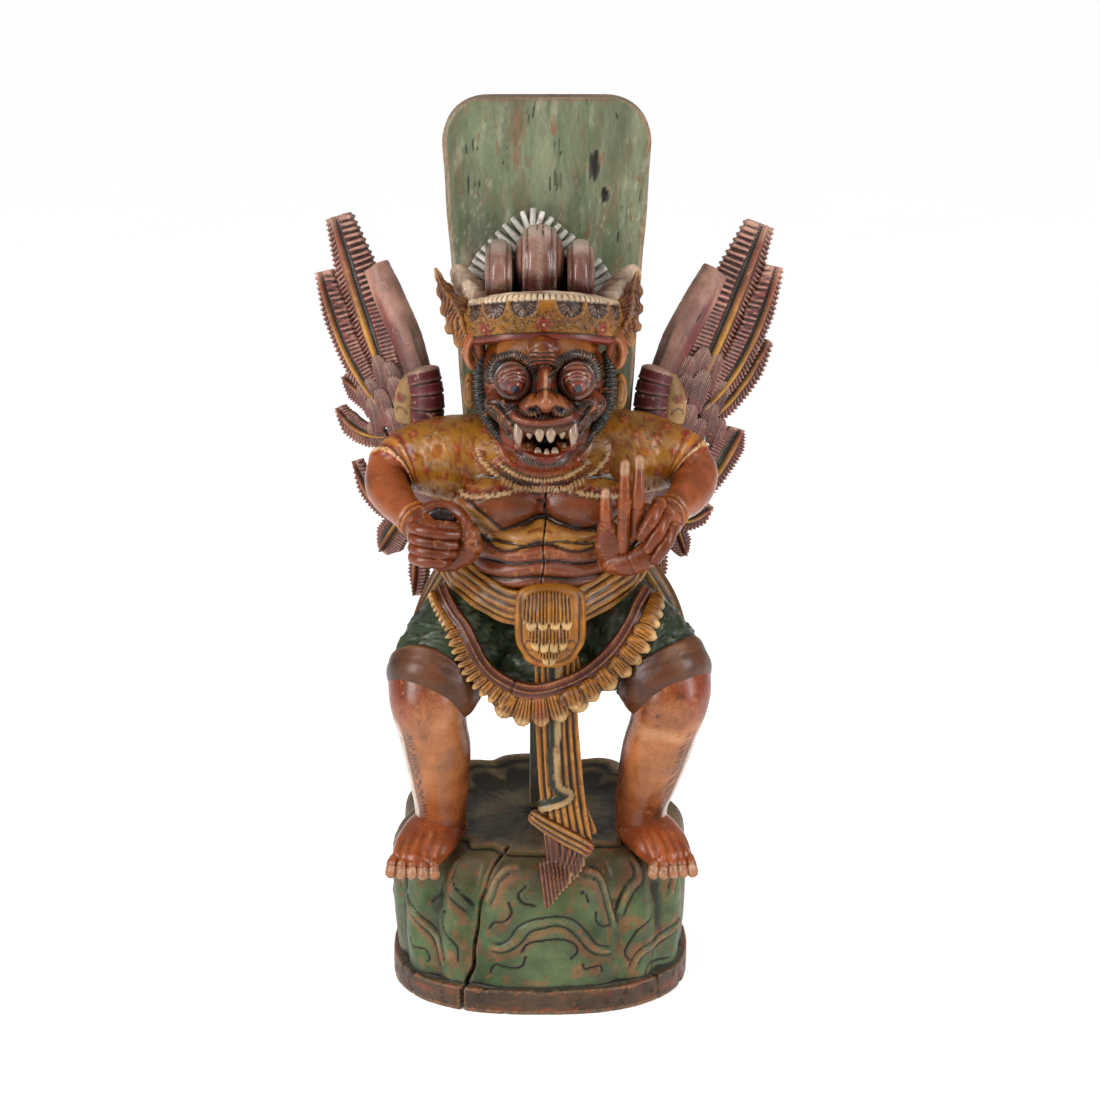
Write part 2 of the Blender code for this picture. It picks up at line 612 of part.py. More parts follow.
def box_object(name, spans):
    mesh = bpy.data.meshes.new(name)
    bm = bmesh.new()
    bmesh.ops.create_cube(bm, size=1)
    size = Vector([b - a for a, b in spans])
    middle = Vector([(a + b) / 2 for a, b in spans])
    bmesh.ops.scale(bm, vec=size, verts=bm.verts)
    bmesh.ops.translate(bm, vec=middle, verts=bm.verts)
    bm.to_mesh(mesh)
    bm.free()
    obj = bpy.data.objects.new(name, mesh)
    bpy.context.scene.collection.objects.link(obj)
    return obj


def build_wing(name, side):
    """One wing: the arm of the wing, its long feathers, and the scales over their roots."""
    wing = Carving()

    def place(out, up, depth):
        return wing_point(side, out, up, depth)

    # The plain thick blade beside the head, and the banded root block
    add_feather(wing, side, SLAB, edge=9, ridge=9)
    wing.limb([(-4, -8, 7, 17, 15), (2, 36, 6, 15, 15)], side=(0, 1, 0), sides=12,
              scale=WING_PART, place=place)
    # The palm of the wing, behind the shoulder
    wing.limb([(6, 0, -2, 20, 9), (18, -30, -4, 24, 9), (10, -66, -5, 16, 8)],
              side=tuple(place(1, 0, 0) - place(0, 0, 0)), sides=12, scale=WING_PART, place=place)
    for feather in FEATHERS[side]:
        add_feather(wing, side, feather)
    for scale in SCALES:
        add_scale(wing, side, scale)
    obj = wing.solid(name, (0.36, 0.20, 0.21), WING_VOXEL, WING_TRIANGLES)
    cut(obj, box_object(name + "_seat_cut", ((-0.4, 0.4), (-0.3, WING_SEAT_Y + FIT_GAP), (0, 1))))
    cut(obj, box_object(name + "_tenon", tenon_box(side, 0)), "UNION")
    return obj


def cut(obj, cutter, operation="DIFFERENCE"):
    cutter.hide_render = True
    cutter.display_type = "WIRE"
    made = obj.modifiers.new("Cut_" + cutter.name, "BOOLEAN")
    made.operation = operation
    made.solver = "EXACT"
    made.object = cutter


def rod_object(name, foot, head, radius):
    """A plain round cutter between two points."""
    foot, head = Vector(foot), Vector(head)
    mesh = bpy.data.meshes.new(name)
    bm = bmesh.new()
    bmesh.ops.create_cone(bm, cap_ends=True, segments=16, radius1=radius, radius2=radius,
                          depth=(head - foot).length)
    turn = (head - foot).to_track_quat("Z", "Y").to_matrix().to_4x4()
    bmesh.ops.transform(bm, matrix=Matrix.Translation((foot + head) / 2) @ turn, verts=bm.verts)
    bm.to_mesh(mesh)
    bm.free()
    obj = bpy.data.objects.new(name, mesh)
    bpy.context.scene.collection.objects.link(obj)
    return obj


def ball_object(name, centre, radii):
    """An ellipsoid cutter, with its middle and its radii in parts of the figure."""
    mesh = bpy.data.meshes.new(name)
    bm = bmesh.new()
    bmesh.ops.create_uvsphere(bm, u_segments=16, v_segments=8, radius=1)
    bmesh.ops.scale(bm, vec=Vector(radii) * PART, verts=bm.verts)
    bmesh.ops.translate(bm, vec=Vector(figure_point(*centre)), verts=bm.verts)
    bm.to_mesh(mesh)
    bm.free()
    obj = bpy.data.objects.new(name, mesh)
    bpy.context.scene.collection.objects.link(obj)
    return obj


def main():
    clear_scene()
    statue = build_block()
    floor = box_object("floor_cut", ((-1, 1), (-1, 1), (-1, 0)))
    cut(statue, floor)
    x, y, z = FIST
    grip = rod_object("grip_cut", figure_point(x + 5, y - 2, z - 40), figure_point(x + 5, y - 2, z + 40),
                      GRIP_BORE / 2)
    cut(statue, grip)
    cut(statue, ball_object("mouth_cut", MOUTH, MOUTH_HALF))
    for name, side in (("wing_left", -1), ("wing_right", 1)):
        cut(statue, box_object(name + "_clearance", seat_box(side, WING_SEAT_Y, 0.3)))
        cut(statue, box_object(name + "_mortise", tenon_box(side, FIT_GAP)))
        build_wing(name, side)


main()
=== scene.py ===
# %% [markdown]
# # A painted wooden garuda
#
# The real statue is carved from one block of soft wood, with a pair of wings pegged on
# behind the shoulders, then painted with earth and mineral colours over a thin ground.
# Most of its charm is in two things: crisp chisel work, and paint that has rubbed off the
# high places and gathered dirt in the low ones.
#
# This lesson builds it as surfaces. Each carved form is a grid of points worked out with
# numpy as whole arrays, so a groove, a fold or a painted line is one formula and not a
# sculpting session. We start by loading the finished frame, which fixes where things go.

# %% The frame
import math

import bpy
import numpy as np
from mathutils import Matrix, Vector


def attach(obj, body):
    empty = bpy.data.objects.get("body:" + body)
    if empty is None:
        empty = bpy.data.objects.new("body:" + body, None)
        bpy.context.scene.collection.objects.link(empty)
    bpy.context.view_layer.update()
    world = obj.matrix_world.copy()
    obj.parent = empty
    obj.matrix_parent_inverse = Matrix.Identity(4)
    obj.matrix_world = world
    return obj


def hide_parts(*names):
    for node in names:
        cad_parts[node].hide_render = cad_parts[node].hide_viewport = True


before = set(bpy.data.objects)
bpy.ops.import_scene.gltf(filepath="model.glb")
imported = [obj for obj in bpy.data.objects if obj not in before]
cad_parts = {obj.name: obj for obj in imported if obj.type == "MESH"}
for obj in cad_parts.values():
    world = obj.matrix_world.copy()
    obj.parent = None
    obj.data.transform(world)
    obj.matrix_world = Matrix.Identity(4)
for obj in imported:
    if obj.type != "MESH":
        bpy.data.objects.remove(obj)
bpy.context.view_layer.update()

# %% [markdown]
# ## A grid for the figure
#
# Carvers lay a figure out on a grid before they cut. Ours has 550 parts in the figure's
# height, about a millimetre each, with zero on the rock's front rim and the face looking
# along -Y. Every place below is a grid place, and one function turns it into metres.

# %% The grid
FIGURE_HEIGHT = 0.55
PART = FIGURE_HEIGHT / 550
ROCK_FRONT = 0.136
ROCK_BACK = 0.164
BASE_WIDTH = 0.266
BASE_DEPTH = 0.252
PLINTH_HEIGHT = 0.022
BODY = "root"
TURN = 2 * math.pi


def metres(points):
    """Grid places (x, y, z above the rock's front rim) in metres."""
    return np.asarray(points, float) * PART + np.array([0.0, 0.0, ROCK_FRONT])


def spline(rows, count):
    """A smooth curve through the rows (Catmull-Rom): each stretch blends four rows
    with cubic weights, and count samples are spread evenly over the stretches."""
    rows = np.asarray(rows, float)
    padded = np.vstack([2 * rows[0] - rows[1], rows, 2 * rows[-1] - rows[-2]])
    t = np.linspace(0, len(rows) - 1, count)
    i = np.minimum(t.astype(int), len(rows) - 2)
    f = (t - i)[:, None]
    a, b, c, d = (padded[i + k] for k in range(4))
    return 0.5 * (2 * b + (c - a) * f + (2 * a - 5 * b + 4 * c - d) * f ** 2
                  + (3 * b - a - 3 * c + d) * f ** 3)


def smooth(low, high, value):
    """0 below low, 1 above high, and an S-shaped ramp between them."""
    t = np.clip((value - low) / (high - low), 0, 1)
    return t * t * (3 - 2 * t)


def bump(value, width):
    """A soft hill: 1 in the middle and nearly 0 a width away (a bell curve)."""
    return np.exp(-(value / width) ** 2 * 2)


def ripple(seed, *coords):
    """Seeded soft noise between about -1 and 1: a sum of sine waves whose directions,
    lengths and phases are drawn once from the seed."""
    draw = np.random.default_rng(seed)
    total = 0
    for octave in range(5):
        for _ in range(4):
            phase = draw.uniform(0, TURN)
            wave = phase
            for c in coords:
                wave = wave + c * draw.normal() * 1.7 ** octave
            total = total + np.sin(wave) / 1.5 ** octave
    return total / 5


def mottle(low, high, seed, *coords):
    """Soft patches: 0 where the ripple is below low, and 1 where it is above high."""
    return smooth(low, high, ripple(seed, *coords))


def elliptic(a, half_a, b, half_b):
    """How far each point lies from the middle of an ellipse, as 1 on its rim."""
    return np.hypot(a / half_a, b / half_b)


def near(path, a, b, samples=40):
    """How far each grid point (a, b) lies from a smooth curve, how far along the curve
    its nearest point is (0 to 1), and on which side it lies (-1 or 1)."""
    line = spline(path, samples)
    best = np.full(np.shape(a), 1e9)
    along = np.zeros(np.shape(a))
    side = np.ones(np.shape(a))
    for k in range(samples - 1):
        p, q = line[k], line[k + 1]
        step = q - p
        reach = max(float(step @ step), 1e-12)
        t = np.clip(((a - p[0]) * step[0] + (b - p[1]) * step[1]) / reach, 0, 1)
        da, db = a - p[0] - t * step[0], b - p[1] - t * step[1]
        gap = np.hypot(da, db)
        closer = gap < best
        best = np.where(closer, gap, best)
        along = np.where(closer, (k + t) / (samples - 1), along)
        side = np.where(closer, np.sign(da * step[1] - db * step[0]), side)
    return best, along, side


print("figure", FIGURE_HEIGHT, "m, from the sole to the tip of the crest")

# %% [markdown]
# ## Surfaces from grids
#
# A closed surface is a grid of rows: each row is a ring round the form, and the first and
# last rows shrink to a point. Relief is added along the surface's own normal, which is the
# cross product of the two directions of travel. The sign of the enclosed volume tells
# which way is out, so no surface can end up inside out.

# %% Grids and pieces


class Grid:
    """How fine the next grids are, as a share of the counts that their calls ask for."""
    share = 1.0


def fine(count):
    """A count of rows or columns at the present fineness, and never fewer than eight."""
    return max(8, round(count * Grid.share))


def normals_of(points):
    """Unit normals of a closed grid, pointing out of the volume that it encloses."""
    down = np.gradient(points, axis=0)
    around = np.roll(points, -1, 1) - np.roll(points, 1, 1)
    normal = np.cross(down, around)
    length = np.linalg.norm(normal, axis=2, keepdims=True)
    normal = normal / np.maximum(length, 1e-12)
    middle = points.mean(axis=(0, 1))
    volume = np.sum(np.einsum("ijk,ijk->ij", points - middle, normal) * length[..., 0])
    return normal if volume > 0 else -normal


def raised(points, height):
    """The grid pushed out along its normals by a height in parts."""
    return points + normals_of(points) * (np.asarray(height) * PART)[..., None]


def mix(base, over, share):
    """Blend two colours by a share that may differ from point to point."""
    share = np.asarray(share)[..., None]
    return np.asarray(base) * (1 - share) + np.asarray(over) * share


def coats(base, *layers):
    """Several colours laid over a base in turn, each layer as (colour, share)."""
    for over, share in layers:
        base = mix(base, over, share)
    return base


class Piece:
    """Closed grids gathered into one mesh, with a painted colour at each point."""

    def __init__(self, name):
        self.name = name
        self.points = []
        self.paint = []
        self.triangles = []
        self.count = 0

    def add(self, points, paint):
        """One closed grid: rows of rings, with a colour for all or for each point."""
        rows, ring = points.shape[:2]
        index = np.arange(rows * ring).reshape(rows, ring)
        for end in (0, -1):
            if np.ptp(points[end], axis=0).max() < 1e-7:
                index[end] = index[end, 0]
        a, b = index[:-1], index[1:]
        c, d = np.roll(b, -1, 1), np.roll(a, -1, 1)
        faces = np.concatenate([np.stack([a, b, c], -1).reshape(-1, 3),
                                np.stack([a, c, d], -1).reshape(-1, 3)])
        whole = ((faces[:, 0] != faces[:, 1]) & (faces[:, 1] != faces[:, 2])
                 & (faces[:, 0] != faces[:, 2]))
        faces = faces[whole]
        flat = points.reshape(-1, 3)
        p, q, r = (flat[faces[:, k]] - flat.mean(0) for k in range(3))
        if np.einsum("ij,ij->", p, np.cross(q, r)) < 0:
            faces = faces[:, ::-1]
        self.points.append(flat)
        self.paint.append(np.broadcast_to(paint, points.shape).reshape(-1, 3))
        self.triangles.append(faces + self.count)
        self.count += len(flat)

    def finish(self, material, slot, *nodes):
        """The mesh in the scene, riding on the statue and standing for its CAD nodes."""
        points = np.concatenate(self.points)
        paint = np.clip(np.concatenate(self.paint), 0, 1)
        faces = np.concatenate(self.triangles)
        used = np.unique(faces)
        renumber = np.zeros(self.count, int)
        renumber[used] = np.arange(len(used))
        points, paint, faces = points[used], paint[used], renumber[faces]
        mesh = bpy.data.meshes.new(self.name)
        mesh.vertices.add(len(points))
        mesh.vertices.foreach_set("co", points.ravel())
        mesh.loops.add(faces.size)
        mesh.loops.foreach_set("vertex_index", faces.ravel())
        mesh.polygons.add(len(faces))
        mesh.polygons.foreach_set("loop_start", np.arange(0, faces.size, 3))
        mesh.polygons.foreach_set("use_smooth", np.ones(len(faces), bool))
        mesh.update(calc_edges=True)
        layer = mesh.color_attributes.new("paint", "FLOAT_COLOR", "POINT")
        layer.data.foreach_set("color", np.insert(paint, 3, 1, axis=1).ravel())
        self.mark_edges(mesh, points)
        mesh.materials.append(material)
        obj = bpy.data.objects.new(self.name, mesh)
        bpy.context.scene.collection.objects.link(obj)
        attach(obj, BODY)
        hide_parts(*nodes)
        print(self.name, len(faces), "triangles")

    @staticmethod
    def mark_edges(mesh, points):
        """Where the carving stands proud (1) or lies deep (-1). Each point is compared with
        a copy of the surface that is smoothed by averaging neighbours: a little, for the
        tool marks, and a lot, for the deep folds, where only hollows count."""
        ends = np.empty(len(mesh.edges) * 2, int)
        mesh.edges.foreach_get("vertices", ends)
        a, b = ends.reshape(-1, 2).T
        count = len(points)
        degree = np.maximum(np.bincount(a, minlength=count) + np.bincount(b, minlength=count), 1)
        normal = np.empty(count * 3)
        mesh.vertices.foreach_get("normal", normal)
        soft, proud = points.T.copy(), 0
        # The broad pass finds the deep folds, which the paint recipe paints darker as shade.
        for passes, depth, most in ((6, 0.0009, 1.0), (34, 0.0028, 0.0)):
            for _ in range(max(1, round(passes * Grid.share ** 2))):
                for column in soft:
                    total = np.bincount(a, column[b], count) + np.bincount(b, column[a], count)
                    column[:] = column * 0.2 + total / degree * 0.8
            gap = np.einsum("ij,ij->i", points - soft.T, normal.reshape(-1, 3)) / depth
            proud = proud + np.clip(gap, -1.0, most)
        edge = mesh.attributes.new("edge", "FLOAT", "POINT")
        edge.data.foreach_set("value", np.clip(proud, -1, 1))


# %% [markdown]
# ## Three kinds of form
#
# Nearly all of the carving is one of three kinds: a **limb**, an ellipse carried along a
# curve; a **swell**, several egg shapes melted into one skin that is measured outwards
# from an axis; or a **ball**, one egg whose rings are circles of latitude.

# %% Limbs, swells and balls
ACROSS, BACKWARD, FORWARD, UP = (1, 0, 0), (0, 1, 0), (0, -1, 0), (0, 0, 1)


def limb(rows, side=ACROSS, length=40, ring=32, blunt=1.0):
    """An ellipse carried along a smooth curve and closed with round ends.

    rows are (x, y, z, radius across, radius through) in grid parts. The ring at each
    step is centre + across cos(v) + through sin(v), where across lies along side. The
    ends close like a ball: the ring shrinks by a cosine while it moves on by a sine.
    Returns the points, with u (0 to 1 along) and v (angle) for relief and paint.
    """
    length, ring = fine(length), fine(ring)
    path = spline([(*r, r[3])[:5] for r in rows], length)
    centres = metres(path[:, :3])
    radii = path[:, 3:5] * PART
    travel = np.gradient(centres, axis=0)
    travel /= np.linalg.norm(travel, axis=1)[:, None]
    across = np.asarray(side, float) - travel * (travel @ np.asarray(side, float))[:, None]
    across /= np.linalg.norm(across, axis=1)[:, None]
    through = np.cross(travel, across)
    caps = max(3, ring // 5)
    lean = np.linspace(math.pi / 2, 0, caps, endpoint=False)
    pick = np.concatenate([np.zeros(caps, int), np.arange(length), np.full(caps, length - 1)])
    shrink = np.concatenate([np.cos(lean), np.ones(length), np.cos(lean[::-1])])
    shift = np.concatenate([-np.sin(lean), np.zeros(length), np.sin(lean[::-1])]) * blunt
    shrink[0] = shrink[-1] = 0
    v = np.linspace(0, TURN, ring, endpoint=False)
    middle = centres[pick] + travel[pick] * (shift * radii[pick].min(axis=1))[:, None]
    points = (middle[:, None]
              + across[pick][:, None] * (np.cos(v) * (radii[pick, 0] * shrink)[:, None])[..., None]
              + through[pick][:, None]
              * (np.sin(v) * (radii[pick, 1] * shrink)[:, None])[..., None])
    u = np.concatenate([np.zeros(caps), np.linspace(0, 1, length), np.ones(caps)])
    return points, *np.broadcast_arrays(u[:, None], v[None])


def reach_of(centre, direction, blobs, melt):
    """How far out the melted skin of the blobs lies along each direction from centre.

    A blob is an ellipsoid (x, y, z, rx, ry, rz). A ray leaves it where a quadratic has
    its larger root, and the separate reaches are blended with a soft maximum, the
    logarithm of a sum of exponentials, whose softness is melt (in parts).
    """
    total = 0
    for x, y, z, rx, ry, rz in blobs:
        radii = np.array([rx, ry, rz], float)
        start = (centre - np.array([x, y, z])) / radii
        ray = direction / radii
        a = np.einsum("...i,...i", ray, ray)
        b = np.einsum("...i,...i", ray, start)
        c = np.einsum("...i,...i", start, start) - 1
        inside = b * b - a * c
        root = np.where(inside > 0, (-b + np.sqrt(np.maximum(inside, 0))) / a, 0)
        total = total + np.exp(np.clip(root, 0, 400) / melt) * (inside > 0) + 1e-9
    return np.maximum(np.log(np.maximum(total, 1.0)) * melt, 0.5)


def swell(axis, blobs, melt, rows, ring, front):
    """Melted blobs round an upright axis, from rows of (x, y, z) of the axis.

    Each row is a level ring measured outwards from the axis, and the first and last
    rings close to a point. front from 0 to 1 gathers more points on the -Y side.
    Returns the points in metres.
    """
    rows, ring = fine(rows), fine(ring)
    path = spline(axis, rows)
    v = np.linspace(-math.pi, math.pi, ring, endpoint=False)
    v = v - front * np.sin(v) * 0.9
    around = np.stack([np.sin(v), -np.cos(v), np.zeros(ring)], 1)
    direction = np.broadcast_to(around, (rows, ring, 3))
    reach = reach_of(path[:, None], direction, blobs, melt)
    reach[0] = reach[-1] = 0
    return metres(path[:, None] + direction * reach[..., None])


def ball(centre, radii, rows, ring):
    """An egg shape: rings whose radius is the cosine of their latitude."""
    rows, ring = fine(rows), fine(ring)
    lat = np.linspace(-math.pi / 2, math.pi / 2, rows)[:, None]
    v = np.linspace(0, TURN, ring, endpoint=False)[None]
    unit = np.stack(np.broadcast_arrays(np.cos(lat) * np.sin(v), -np.cos(lat) * np.cos(v),
                                        np.sin(lat)), -1)
    unit[0, :, :2] = unit[-1, :, :2] = 0
    return metres(np.asarray(centre) + unit * np.asarray(radii))


def grid_of(points):
    """Metres back to grid parts, as three arrays x, y, z."""
    back = (points - np.array([0.0, 0.0, ROCK_FRONT])) / PART
    return back[..., 0], back[..., 1], back[..., 2]


print("three kinds of form are ready: limb, swell, ball")

# %% [markdown]
# ## Old paint
#
# Temple paint is laid thickly by hand over a pale ground, and then lives outdoors. What the
# eye reads is four things on top of the colour: slow changes of tone from hand mixing,
# chips that show the ground, pale rubbing on proud edges, and dark grime in the grooves.
# The same dark is laid in the deep folds as painted shade.
# One recipe serves every finish. It takes the painted colour from the mesh, reads the
# noise from Object coordinates so that nothing slides, and lets each finish choose its own
# ground, rub and gloss.

# %% The paint recipe


def node(tree, kind, **settings):
    """A shader node with its properties and unlinked inputs set by name."""
    made = tree.nodes.new(kind)
    for key, value in settings.items():
        if key in made.inputs:
            made.inputs[key].default_value = value
        else:
            setattr(made, key, value)
    return made


def noise(tree, place, scale, detail, rough=0.6):
    """Layered noise whose size is set by scale, in waves a metre."""
    made = node(tree, "ShaderNodeTexNoise", Scale=scale, Detail=detail, Roughness=rough)
    tree.links.new(place, made.inputs["Vector"])
    return made.outputs["Fac"]


def ramp(tree, value, low, high, out_low=0.0, out_high=1.0):
    """A value moved from one range to another and held at its ends."""
    made = node(tree, "ShaderNodeMapRange")
    made.interpolation_type = "SMOOTHSTEP"
    tree.links.new(value, made.inputs["Value"])
    for key, number in (("From Min", low), ("From Max", high), ("To Min", out_low),
                        ("To Max", out_high)):
        made.inputs[key].default_value = number
    return made.outputs["Result"]


def maths(tree, kind, a, b):
    """One sum of two values, each a number or the output of another node."""
    made = node(tree, "ShaderNodeMath", operation=kind)
    for socket, value in zip(made.inputs, (a, b)):
        if isinstance(value, (int, float)):
            socket.default_value = value
        else:
            tree.links.new(value, socket)
    return made.outputs[0]


def blend(tree, kind, share, base, over):
    """One colour laid over another by a share, with a blend kind such as MIX or MULTIPLY."""
    made = node(tree, "ShaderNodeMix", data_type="RGBA", blend_type=kind)
    for socket, value in ((made.inputs[0], share), (made.inputs[6], base), (made.inputs[7], over)):
        if isinstance(value, (int, float)):
            socket.default_value = value
        elif isinstance(value, tuple):
            socket.default_value = (*value, 1)
        else:
            tree.links.new(value, socket)
    return made.outputs[2]


def old_paint(name, ground, rub, gloss, chips, grime_and_shade, rubbed, tone, coat, rough_relief, varnish,
              stretch=(1, 1, 1)):
    """A worn paint: ground shows in the chips, rub on the proud edges.

    gloss is the range of roughness; chips, rubbed and tone say how strong each kind of
    ageing is, and the grime strength sets how dark the grime in the grooves and the painted
    shade in the deep folds become; stretch squeezes the noise, so that streaks can follow the
    grain.
    varnish is the colour of the old brown varnish, which multiplies everything under it.
    """
    material = bpy.data.materials.new(name)
    material.use_nodes = True
    tree = material.node_tree
    shader = tree.nodes["Principled BSDF"]
    place = node(tree, "ShaderNodeTexCoord").outputs["Object"]
    squeeze = node(tree, "ShaderNodeMapping", Scale=stretch)
    tree.links.new(place, squeeze.inputs["Vector"])
    place = squeeze.outputs["Vector"]
    paint = node(tree, "ShaderNodeAttribute", attribute_name="paint").outputs["Color"]
    edge = node(tree, "ShaderNodeAttribute", attribute_name="edge").outputs["Fac"]
    slow = noise(tree, place, 28, 4)
    patch = noise(tree, place, 120, 8, 0.7)
    fine = noise(tree, place, 520, 5, 0.65)
    grain = noise(tree, place, 1900, 3)

    colour = blend(tree, "MULTIPLY", 1.0, paint, blend(
        tree, "MIX", ramp(tree, slow, 0.3, 0.7), (1 - tone,) * 3, (1 + tone * 0.6,) * 3))
    colour = blend(tree, "MULTIPLY", 1.0, colour, blend(
        tree, "MIX", ramp(tree, fine, 0.3, 0.7), (0.86, 0.84, 0.82), (1.12, 1.1, 1.06)))
    chipped = ramp(tree, maths(tree, "ADD", patch, maths(tree, "MULTIPLY", edge, 0.10)),
                   0.64 - 0.1 * chips, 0.7 - 0.1 * chips, 0.0, 0.85)
    colour = blend(tree, "MIX", chipped, colour, ground)
    worn = maths(tree, "MULTIPLY", ramp(tree, edge, 0.25, 1.0),
                 ramp(tree, fine, 0.38, 0.62, 0.15, 1.0))
    colour = blend(tree, "MIX", maths(tree, "MULTIPLY", worn, rubbed), colour, rub)
    # Near black laid by the sunk share: grime in the grooves, and painted shade in the deep folds
    # that the edge attribute's broad pass finds.
    sunk = maths(tree, "ADD", maths(tree, "MULTIPLY", edge, -1.0),
                 maths(tree, "MULTIPLY", maths(tree, "SUBTRACT", patch, 0.5), 0.7))
    colour = blend(tree, "MIX", ramp(tree, sunk, 0.05, 0.85, 0.0, grime_and_shade), colour,
                   (0.016, 0.011, 0.008))
    tree.links.new(blend(tree, "MULTIPLY", 1.0, colour, varnish), shader.inputs["Base Color"])

    tree.links.new(ramp(tree, maths(tree, "ADD", patch, maths(tree, "MULTIPLY", worn, 0.25)),
                        0.35, 0.75, *gloss), shader.inputs["Roughness"])
    surface = maths(tree, "ADD", maths(tree, "MULTIPLY", fine, 0.7),
                    maths(tree, "MULTIPLY", grain, 0.3))
    surface = maths(tree, "SUBTRACT", surface, maths(tree, "MULTIPLY", chipped, 0.35))
    bump_node = node(tree, "ShaderNodeBump", Strength=rough_relief, Distance=0.0006)
    tree.links.new(surface, bump_node.inputs["Height"])
    tree.links.new(bump_node.outputs["Normal"], shader.inputs["Normal"])
    shader.inputs["Specular IOR Level"].default_value = 0.24
    shader.inputs["Coat Weight"].default_value = coat
    shader.inputs["Coat Roughness"].default_value = 0.22
    print("finish:", name)
    return material


# %% [markdown]
# ## The colours
#
# The palette is small, as on most old polychrome work: an orange-brown for skin, ochre that
# imitates gold, a deep leaf green, a plum pink, madder red, and a blue-black for hair.
# They are given as linear light values, which is what the shader multiplies.

# %% Colours and finishes
SKIN = np.array([0.36, 0.12, 0.04])
SKIN_DARK = np.array([0.2, 0.05, 0.016])
PINK = np.array([0.46, 0.17, 0.105])
GOLD = np.array([0.46, 0.235, 0.035])
GOLD_DARK = np.array([0.2, 0.085, 0.014])
CREAM = np.array([0.95, 0.86, 0.6])
BONE = np.array([0.9, 0.8, 0.66])
RED = np.array([0.26, 0.022, 0.016])
GREEN = np.array([0.05, 0.095, 0.05])
LEAF = np.array([0.095, 0.165, 0.08])
DARK_GREEN = np.array([0.018, 0.034, 0.024])
BLUE_BLACK = np.array([0.022, 0.034, 0.04])
BROWN = np.array([0.115, 0.048, 0.024])
DEEP_BROWN = np.array([0.048, 0.022, 0.014])
BLACK = np.array([0.01, 0.008, 0.007])

SKIN_FINISH = old_paint("skin_lacquer", (0.46, 0.22, 0.09), (0.72, 0.36, 0.17), gloss=(0.20, 0.42),
                        chips=0.32, grime_and_shade=0.85, rubbed=0.4, tone=0.35, coat=0.16, rough_relief=0.25,
                        varnish=(0.58, 0.41, 0.3))
GOLD_FINISH = old_paint("ochre_gold", (0.24, 0.10, 0.03), (0.72, 0.52, 0.24), gloss=(0.26, 0.50),
                        chips=0.3, grime_and_shade=0.9, rubbed=0.5, tone=0.4, coat=0.1, rough_relief=0.35,
                        varnish=(0.6, 0.44, 0.28))
CLOTH_FINISH = old_paint("carved_cloth_green", (0.13, 0.085, 0.04), (0.22, 0.26, 0.17),
                         gloss=(0.26, 0.50),
                         chips=0.25, grime_and_shade=0.9, rubbed=0.25, tone=0.4, coat=0.1, rough_relief=0.35,
                         varnish=(0.5, 0.44, 0.36))
WING_FINISH = old_paint("plum_feathers", (0.50, 0.33, 0.26), (0.66, 0.45, 0.38), gloss=(0.38, 0.65),
                        chips=0.3, grime_and_shade=0.92, rubbed=0.5, tone=0.4, coat=0.05, rough_relief=0.45,
                        varnish=(0.68, 0.56, 0.5))
ROCK_FINISH = old_paint("rock_green", (0.30, 0.095, 0.035), (0.36, 0.30, 0.20), gloss=(0.38, 0.62),
                        chips=0.45, grime_and_shade=0.9, rubbed=0.5, tone=0.45, coat=0.08, rough_relief=0.55,
                        varnish=(0.6, 0.5, 0.42))
BOARD_FINISH = old_paint("board_green", (0.22, 0.105, 0.05), (0.40, 0.37, 0.27), gloss=(0.40, 0.65),
                         chips=0.45, grime_and_shade=0.8, rubbed=0.5, tone=0.35, coat=0.05, rough_relief=0.6,
                         stretch=(1.0, 1.0, 0.28), varnish=(0.78, 0.74, 0.72))
HAIR_FINISH = old_paint("polished_hair", (0.20, 0.11, 0.08), (0.34, 0.24, 0.20), gloss=(0.14, 0.34),
                        chips=0.3, grime_and_shade=0.85, rubbed=0.45, tone=0.35, coat=0.4, rough_relief=0.25,
                        varnish=(0.85, 0.8, 0.76))

# %% [markdown]
# ## The rock
#
# The base is the foot of the log. The carver cut it back in rounded lobes, then drew the
# clouds and flames that stand for rock in this kind of work: each is a raised ribbon with a
# gouge line on both sides, and small engraved hooks fill the spaces. The long split is a
# drying crack that opened after carving.
#
# We unroll the wall into a flat map, degrees from the front against height, and draw every
# ribbon and hook there as a curve. The distance to a curve then gives both relief and paint.

# %% The shape of the rock
VALLEY_DEG = (-158, -128, -98, -70, -42, -23, 28, 52, 80, 108, 136, 164)
MM_PER_DEGREE = 2.2
FRONT_GATHER = 0.62
WALL_REACH, WALL_BULGE = 0.962, 0.036
VALLEY_CUT = 0.085
SHOULDER_DROP = 0.026
RIM_ROUNDING = 0.03
DISH_DEPTH = 0.01
PAINT_ROW = 104

Grid.share = 0.68
turn = np.linspace(-math.pi, math.pi, 350, endpoint=False)
turn = turn - FRONT_GATHER * np.sin(turn)
degrees = np.degrees(turn)
gap_to_valley = np.min([np.abs((degrees - v + 180) % 360 - 180) for v in VALLEY_DEG], axis=0)
valley = np.exp(-(gap_to_valley / 7.0) ** 2)


def superellipse(angle, squareness=2.5):
    """The rock's plan, between an ellipse and a rectangle, with 0 facing -Y."""
    s, c = np.sin(angle), -np.cos(angle)
    return np.stack([np.sign(s) * np.abs(s) ** (2 / squareness) * BASE_WIDTH / 2,
                     np.sign(c) * np.abs(c) ** (2 / squareness) * BASE_DEPTH / 2], -1)


plan = superellipse(turn)
top = ROCK_FRONT + (ROCK_BACK - ROCK_FRONT) * np.clip(0.5 + plan[:, 1] / BASE_DEPTH, 0, 1)
shoulder = top - SHOULDER_DROP * (1 + 0.5 * valley)
ledge = PLINTH_HEIGHT + 0.0016 * ripple(3, turn * 2)

